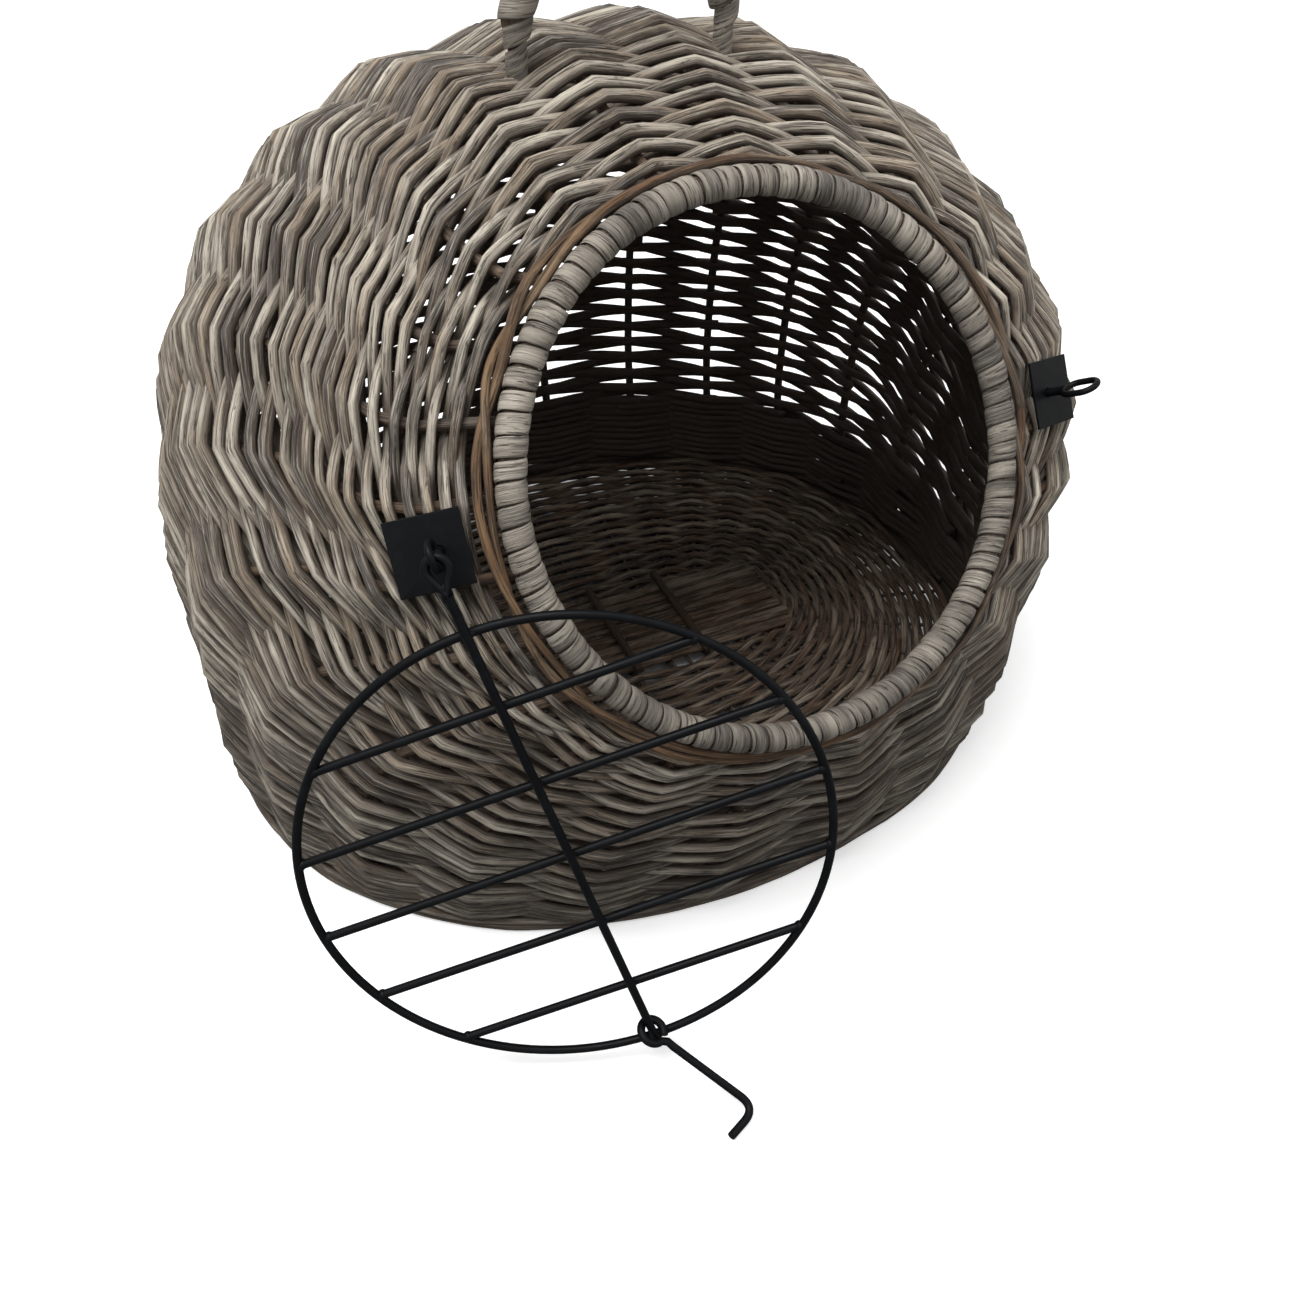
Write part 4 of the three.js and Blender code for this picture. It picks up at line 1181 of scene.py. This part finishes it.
def wire(points, radius, axes, outward, closed=False):
    """A wire through points of a frame of axes."""
    return line(in_frame(points, axes), closed=closed, outward=outward, thick=radius, tone=0.5)


def bead(ends, radius, axes, grow):
    """A short weld between two points of a frame of axes: a swelling that closes at both ends."""
    start, stop = in_frame(ends, axes)
    t = np.linspace(-1, 1, 9)
    place = (start + stop) / 2 + (stop - start) / 2 * t[:, None]
    return line(place, thick=radius * grow * np.sqrt(np.maximum(1 - t**2, 0.02)), tone=0.5)


class WireDoor(bpy.types.Operator):
    """Bends and welds the round wire door"""

    bl_idname = "carrier.wire_door"
    bl_label = "Wire door"

    def execute(self, context):
        w = sizes("wire")
        axes = door_axes()
        front, r, steel = axes[3], w.wire_radius, painted_steel()
        turn = np.linspace(0, 2 * math.pi, 145)[:-1]
        ring = np.stack([w.door_radius * np.cos(turn), w.door_radius * np.sin(turn), 0 * turn], 1)
        lines = [wire(ring, r, axes, front, True)]
        # Welds of the centre bar to the ring
        for y in (-w.door_radius, w.door_radius):
            ends = [(x, y, w.bar_front / 2) for x in (-3.2 * MM, 3.2 * MM)]
            lines.append(bead(ends, r, axes, 0.9))
        seat(rods("wire_door_ring", lines, steel, sides=14), "door", "black_paint", "door_ring")

        neck = w.door_reach - w.loop_length
        places = np.linspace(-w.door_radius - 1.5 * MM, neck, 24)
        straight = [(0, y, w.bar_front) for y in places]
        turn = np.linspace(-0.35, math.pi + 0.35, 22)
        middle, wide = w.door_reach - w.loop_half_width, w.loop_half_width
        loop = [(0, neck)] + [(wide * math.cos(t), middle + wide * math.sin(t)) for t in turn]
        loop = [(x, y, w.bar_front * (w.door_reach - y) / w.loop_length) for x, y in loop]
        weld = [(0, neck - 4 * MM, w.bar_front), (0, neck + 4.5 * MM, w.bar_front * 0.8)]
        lines = [wire(straight, r, axes, front), wire(loop, r, axes, front, True)]
        lines.append(bead(weld, r, axes, 1.35))
        seat(rods("wire_centre_bar", lines, steel, sides=14), "door", "black_paint", "door_centre_bar")

        for i in range(w.bars):
            y = ((w.bars - 1) / 2 - i) * w.bar_spacing
            half = math.sqrt(w.door_radius**2 - y**2) - 0.4 * r
            lines = [wire([(x, y, 0) for x in np.linspace(-half, half, 24)], r, axes, front)]
            # Welds of the crossbar to the ring, and of its middle to the centre bar
            for side in (-1, 1):
                ends = [(side * (half - 3.4 * MM), y, 0), (side * (half + 1.6 * MM), y, 0)]
                lines.append(bead(ends, r, axes, 1.3))
            lines.append(bead([(x, y, 1.9 * MM) for x in (-2.4 * MM, 2.4 * MM)], r, axes, 1.0))
            piece = rods(f"wire_crossbar_{i + 1}", lines, steel, sides=12)
            seat(piece, "door", "black_paint", f"door_crossbar_{i + 1}")
        return {"FINISHED"}


class BendHook(bpy.types.Operator):
    """Bends the door's hook from one wire, with its eye round the centre bar"""

    bl_idname = "carrier.bend_hook"
    bl_label = "Hook"

    def execute(self, context):
        w = sizes("wire")
        centre, minus_y = joint("hook_swing")
        along = unit(np.array(HOOK_ALONG))
        aside = unit(np.cross(np.cross(along, -minus_y), along))
        beside = np.cross(aside, along)
        r = w.hook_eye
        # The eye isn't quite closed, and its end lies beside its start
        ring = [
            centre + r * (math.cos(t) * along + math.sin(t) * beside)
            + aside * (1.6 * MM * (t - math.pi) / math.pi * 0.5)
            for t in np.linspace(0.42, 2 * math.pi - 0.3, 30)
        ]
        heading = math.radians(HOOK_LEG_HEADING)
        leg = np.array([math.cos(heading), math.sin(heading), 0])
        corner = centre + along * w.hook_rod
        bend = 9 * MM
        t = np.linspace(0, 1, 12)[:, None]
        start, stop = corner - along * bend, corner + leg * bend
        curve = (1 - t) ** 2 * start + 2 * t * (1 - t) * corner + t**2 * stop
        neck = [centre + along * (r + 2.5 * MM) + aside * 0.6 * MM, centre + along * (r + 6 * MM)]
        places = np.linspace(r + 10 * MM, w.hook_rod - bend - 2 * MM, 10)
        route = ring + neck + [centre + along * d for d in places]
        route += list(curve) + [corner + leg * w.hook_leg]
        path = line(route, outward=aside, thick=w.wire_radius, tone=0.5)
        seat(rods("bent_hook", [path], painted_steel(), sides=14), "hook", "black_paint", "door_hook")
        return {"FINISHED"}


def bevelled_copy(node_name, name, width, material):
    """A copy of a CAD node with rounded edges."""
    shape = bmesh.new()
    shape.from_mesh(frame["nodes"][node_name].data)
    bmesh.ops.remove_doubles(shape, verts=shape.verts, dist=0.01 * MM)
    bmesh.ops.dissolve_limit(shape, angle_limit=math.radians(2), verts=shape.verts, edges=shape.edges)
    sharp = [e for e in shape.edges if e.calc_face_angle(0) > math.radians(40)]
    bmesh.ops.bevel(
        shape, geom=sharp, offset=width, segments=3, profile=0.5, affect="EDGES", clamp_overlap=True
    )
    mesh = bpy.data.meshes.new(name)
    shape.to_mesh(mesh)
    shape.free()
    mesh.materials.append(material)
    piece = bpy.data.objects.new(name, mesh)
    bpy.context.scene.collection.objects.link(piece)
    return piece


class FixEyes(bpy.types.Operator):
    """Fixes the two eyes to the wall, each through its plate and washer"""

    bl_idname = "carrier.fix_eyes"
    bl_label = "Eyes and plates"

    def execute(self, context):
        w, wall = sizes("wire"), Wall()
        steel = painted_steel()
        pivot, lean = joint("eye_turn")
        mirror = np.array([-1, 1, 1])
        turn = Matrix.Rotation(math.radians(RIGHT_EYE_TURN), 3, Vector(lean * mirror))
        turned = np.array(turn @ Vector(wall.mouth_up))
        left = ("left", "left_eye", lean, door_axes()[1], pivot)
        right = ("right", "basket", lean * mirror, turned, pivot * mirror)
        r = w.eye_hole + w.eye_wire
        top = w.eye_stand - (w.eye_hole - w.wire_radius - 0.3 * MM)
        low = top - w.eye_stretch
        legs = -(wall.s.stake_inset + EYE_LEGS * MM + w.eye_wire)
        arch = np.linspace(0, math.pi, 16)
        ring = [(0, r * math.cos(t), top + r * math.sin(t)) for t in arch]
        ring += [(0, -r * math.cos(t), low - r * math.sin(t)) for t in arch]
        shank = [(0, 0, z) for z in np.linspace(legs, low - r + 0.6 * MM, 12)]
        clench = [(0, y, legs) for y in np.linspace(-6.5 * MM, 6.5 * MM, 8)]
        weld = [(0, 0, low - r - 3.5 * MM), (0, 0, low - r + 2 * MM)]
        for side, body, out, hole, place in (left, right):
            across = unit(np.cross(out, hole))
            axes = (place - out * w.eye_stand, np.cross(across, out), across, out)
            lines = [
                wire(ring, w.eye_wire, axes, axes[1], True), wire(shank, w.wire_radius, axes, axes[1]),
                wire(clench, w.eye_wire, axes, axes[1]), bead(weld, w.wire_radius, axes, 1.3),
            ]
            seat(rods(f"wire_eye_{side}", lines, steel, sides=14), body, "black_paint", f"{side}_eye")
            for part in ("plate", "inner_washer"):
                made = bevelled_copy(f"{side}_{part}", f"steel_{side}_{part}", w.bevel, steel)
                seat(made, "basket", "black_paint", f"{side}_{part}")
        return {"FINISHED"}


# Stage

class SetStage(bpy.types.Operator):
    """Sets the camera, the floor, the soft lamps and a white world"""

    bl_idname = "carrier.set_stage"
    bl_label = "Stage"

    def execute(self, context):
        scene = context.scene
        tilt, turn, roll = (math.radians(value) for value in CAMERA_ANGLES)
        level = math.cos(tilt)
        back = Vector((math.sin(turn) * level, -math.cos(turn) * level, math.sin(tilt)))
        right = (-back).cross(Vector((0, 0, 1))).normalized()
        up = right.cross(-back)
        x = math.cos(roll) * right + math.sin(roll) * up
        y = math.cos(roll) * up - math.sin(roll) * right
        camera = bpy.data.objects.new("camera", bpy.data.cameras.new("camera"))
        camera.data.sensor_width = SENSOR_WIDTH
        camera.data.lens = SENSOR_WIDTH * FOCAL_PIXELS / FRAME_PIXELS
        camera.data.clip_start = 0.01
        camera.matrix_world = Matrix((*zip(x, y, back, CAMERA_PLACE), (0, 0, 0, 1)))
        scene.collection.objects.link(camera)
        scene.camera = camera

        mesh = bpy.data.meshes.new("floor")
        shape = bmesh.new()
        bmesh.ops.create_grid(shape, x_segments=2, y_segments=2, size=6)
        shape.to_mesh(mesh)
        shape.free()
        floor = bpy.data.objects.new("floor", mesh)
        material, tree = plain_material("Pale floor")
        add = partial(result, tree)
        seen = add("ShaderNodeLightPath", output="Is Camera Ray")
        tint = mixed(tree, seen, linear("#8c8c8c"), linear("#f4f4f4"))
        paper = add("ShaderNodeBsdfDiffuse", {"Color": tint})
        place = add("ShaderNodeTexCoord", output="Object")
        place = add("ShaderNodeVectorMath", {0: place, 1: OVAL_SCALE}, operation="MULTIPLY")
        away = add("ShaderNodeVectorMath", {0: place}, operation="LENGTH")
        strength = reckoned(tree, "MULTIPLY", seen, ranged(tree, away, 0.75, 1.0, 0.0, 0.42))
        glow = add("ShaderNodeEmission", {"Strength": strength})
        shader = add("ShaderNodeAddShader", {0: paper, 1: glow})
        tree.links.new(shader, node(tree, "ShaderNodeOutputMaterial").inputs[0])
        mesh.materials.append(material)
        # Just under the foot, so that no faces coincide
        floor.location.z = -0.5 * MM
        scene.collection.objects.link(floor)

        world = bpy.data.worlds.new("white")
        scene.world = world
        world.use_nodes = True
        tree = world.node_tree
        tree.nodes.clear()
        rays = node(tree, "ShaderNodeLightPath").outputs
        seen = reckoned(tree, "MAXIMUM", rays["Is Camera Ray"], rays["Is Glossy Ray"])
        seen = reckoned(tree, "MAXIMUM", seen, rays["Is Transmission Ray"])
        strength = ranged(tree, seen, 0.0, 1.0, WORLD_LIGHT, 1.0)
        light = result(tree, "ShaderNodeBackground", {"Color": (1, 1, 1, 1), "Strength": strength})
        tree.links.new(light, node(tree, "ShaderNodeOutputWorld").inputs[0])

        target = Vector((0, 0, 0.15))
        for name, place, size, power in LAMPS:
            lamp = bpy.data.objects.new(name, bpy.data.lights.new(name, "AREA"))
            lamp.data.size = size
            lamp.data.energy = power
            lamp.location = place
            lamp.rotation_euler = (target - lamp.location).to_track_quat("-Z", "Y").to_euler()
            scene.collection.objects.link(lamp)
        scene.view_settings.view_transform = "Standard"
        return {"FINISHED"}


GROUPS = {
    "wall": CarrierWall, "weave": CarrierWeave, "floor": CarrierFloor, "binding": CarrierBinding,
    "wire": CarrierWire, "colours": CarrierColours,
}
OPERATORS = (
    SetStage, WeaveWall, SetStakes, BindHoop, LayEdgeRods, BendHandle, WaleFoot, WeaveFloor, WireDoor,
    BendHook, FixEyes,
)


class CarrierPanel(bpy.types.Panel):
    """Lists the carrier's pieces"""

    bl_idname = "VIEW3D_PT_carrier"
    bl_label = "Willow pet carrier"
    bl_space_type = "VIEW_3D"
    bl_region_type = "UI"
    bl_category = "Carrier"

    def draw(self, context):
        for operator in OPERATORS:
            self.layout.operator(operator.bl_idname)


def register():
    for kind in (*GROUPS.values(), *OPERATORS, CarrierPanel):
        bpy.utils.register_class(kind)
    for name, group in GROUPS.items():
        setattr(bpy.types.Scene, "carrier_" + name, bpy.props.PointerProperty(type=group))


def unregister():
    for name in GROUPS:
        delattr(bpy.types.Scene, "carrier_" + name)
    for kind in reversed((*GROUPS.values(), *OPERATORS, CarrierPanel)):
        bpy.utils.unregister_class(kind)


def main():
    register()
    for operator in OPERATORS:
        group, name = operator.bl_idname.split(".")
        getattr(getattr(bpy.ops, group), name)()


if __name__ == "__main__":
    main()
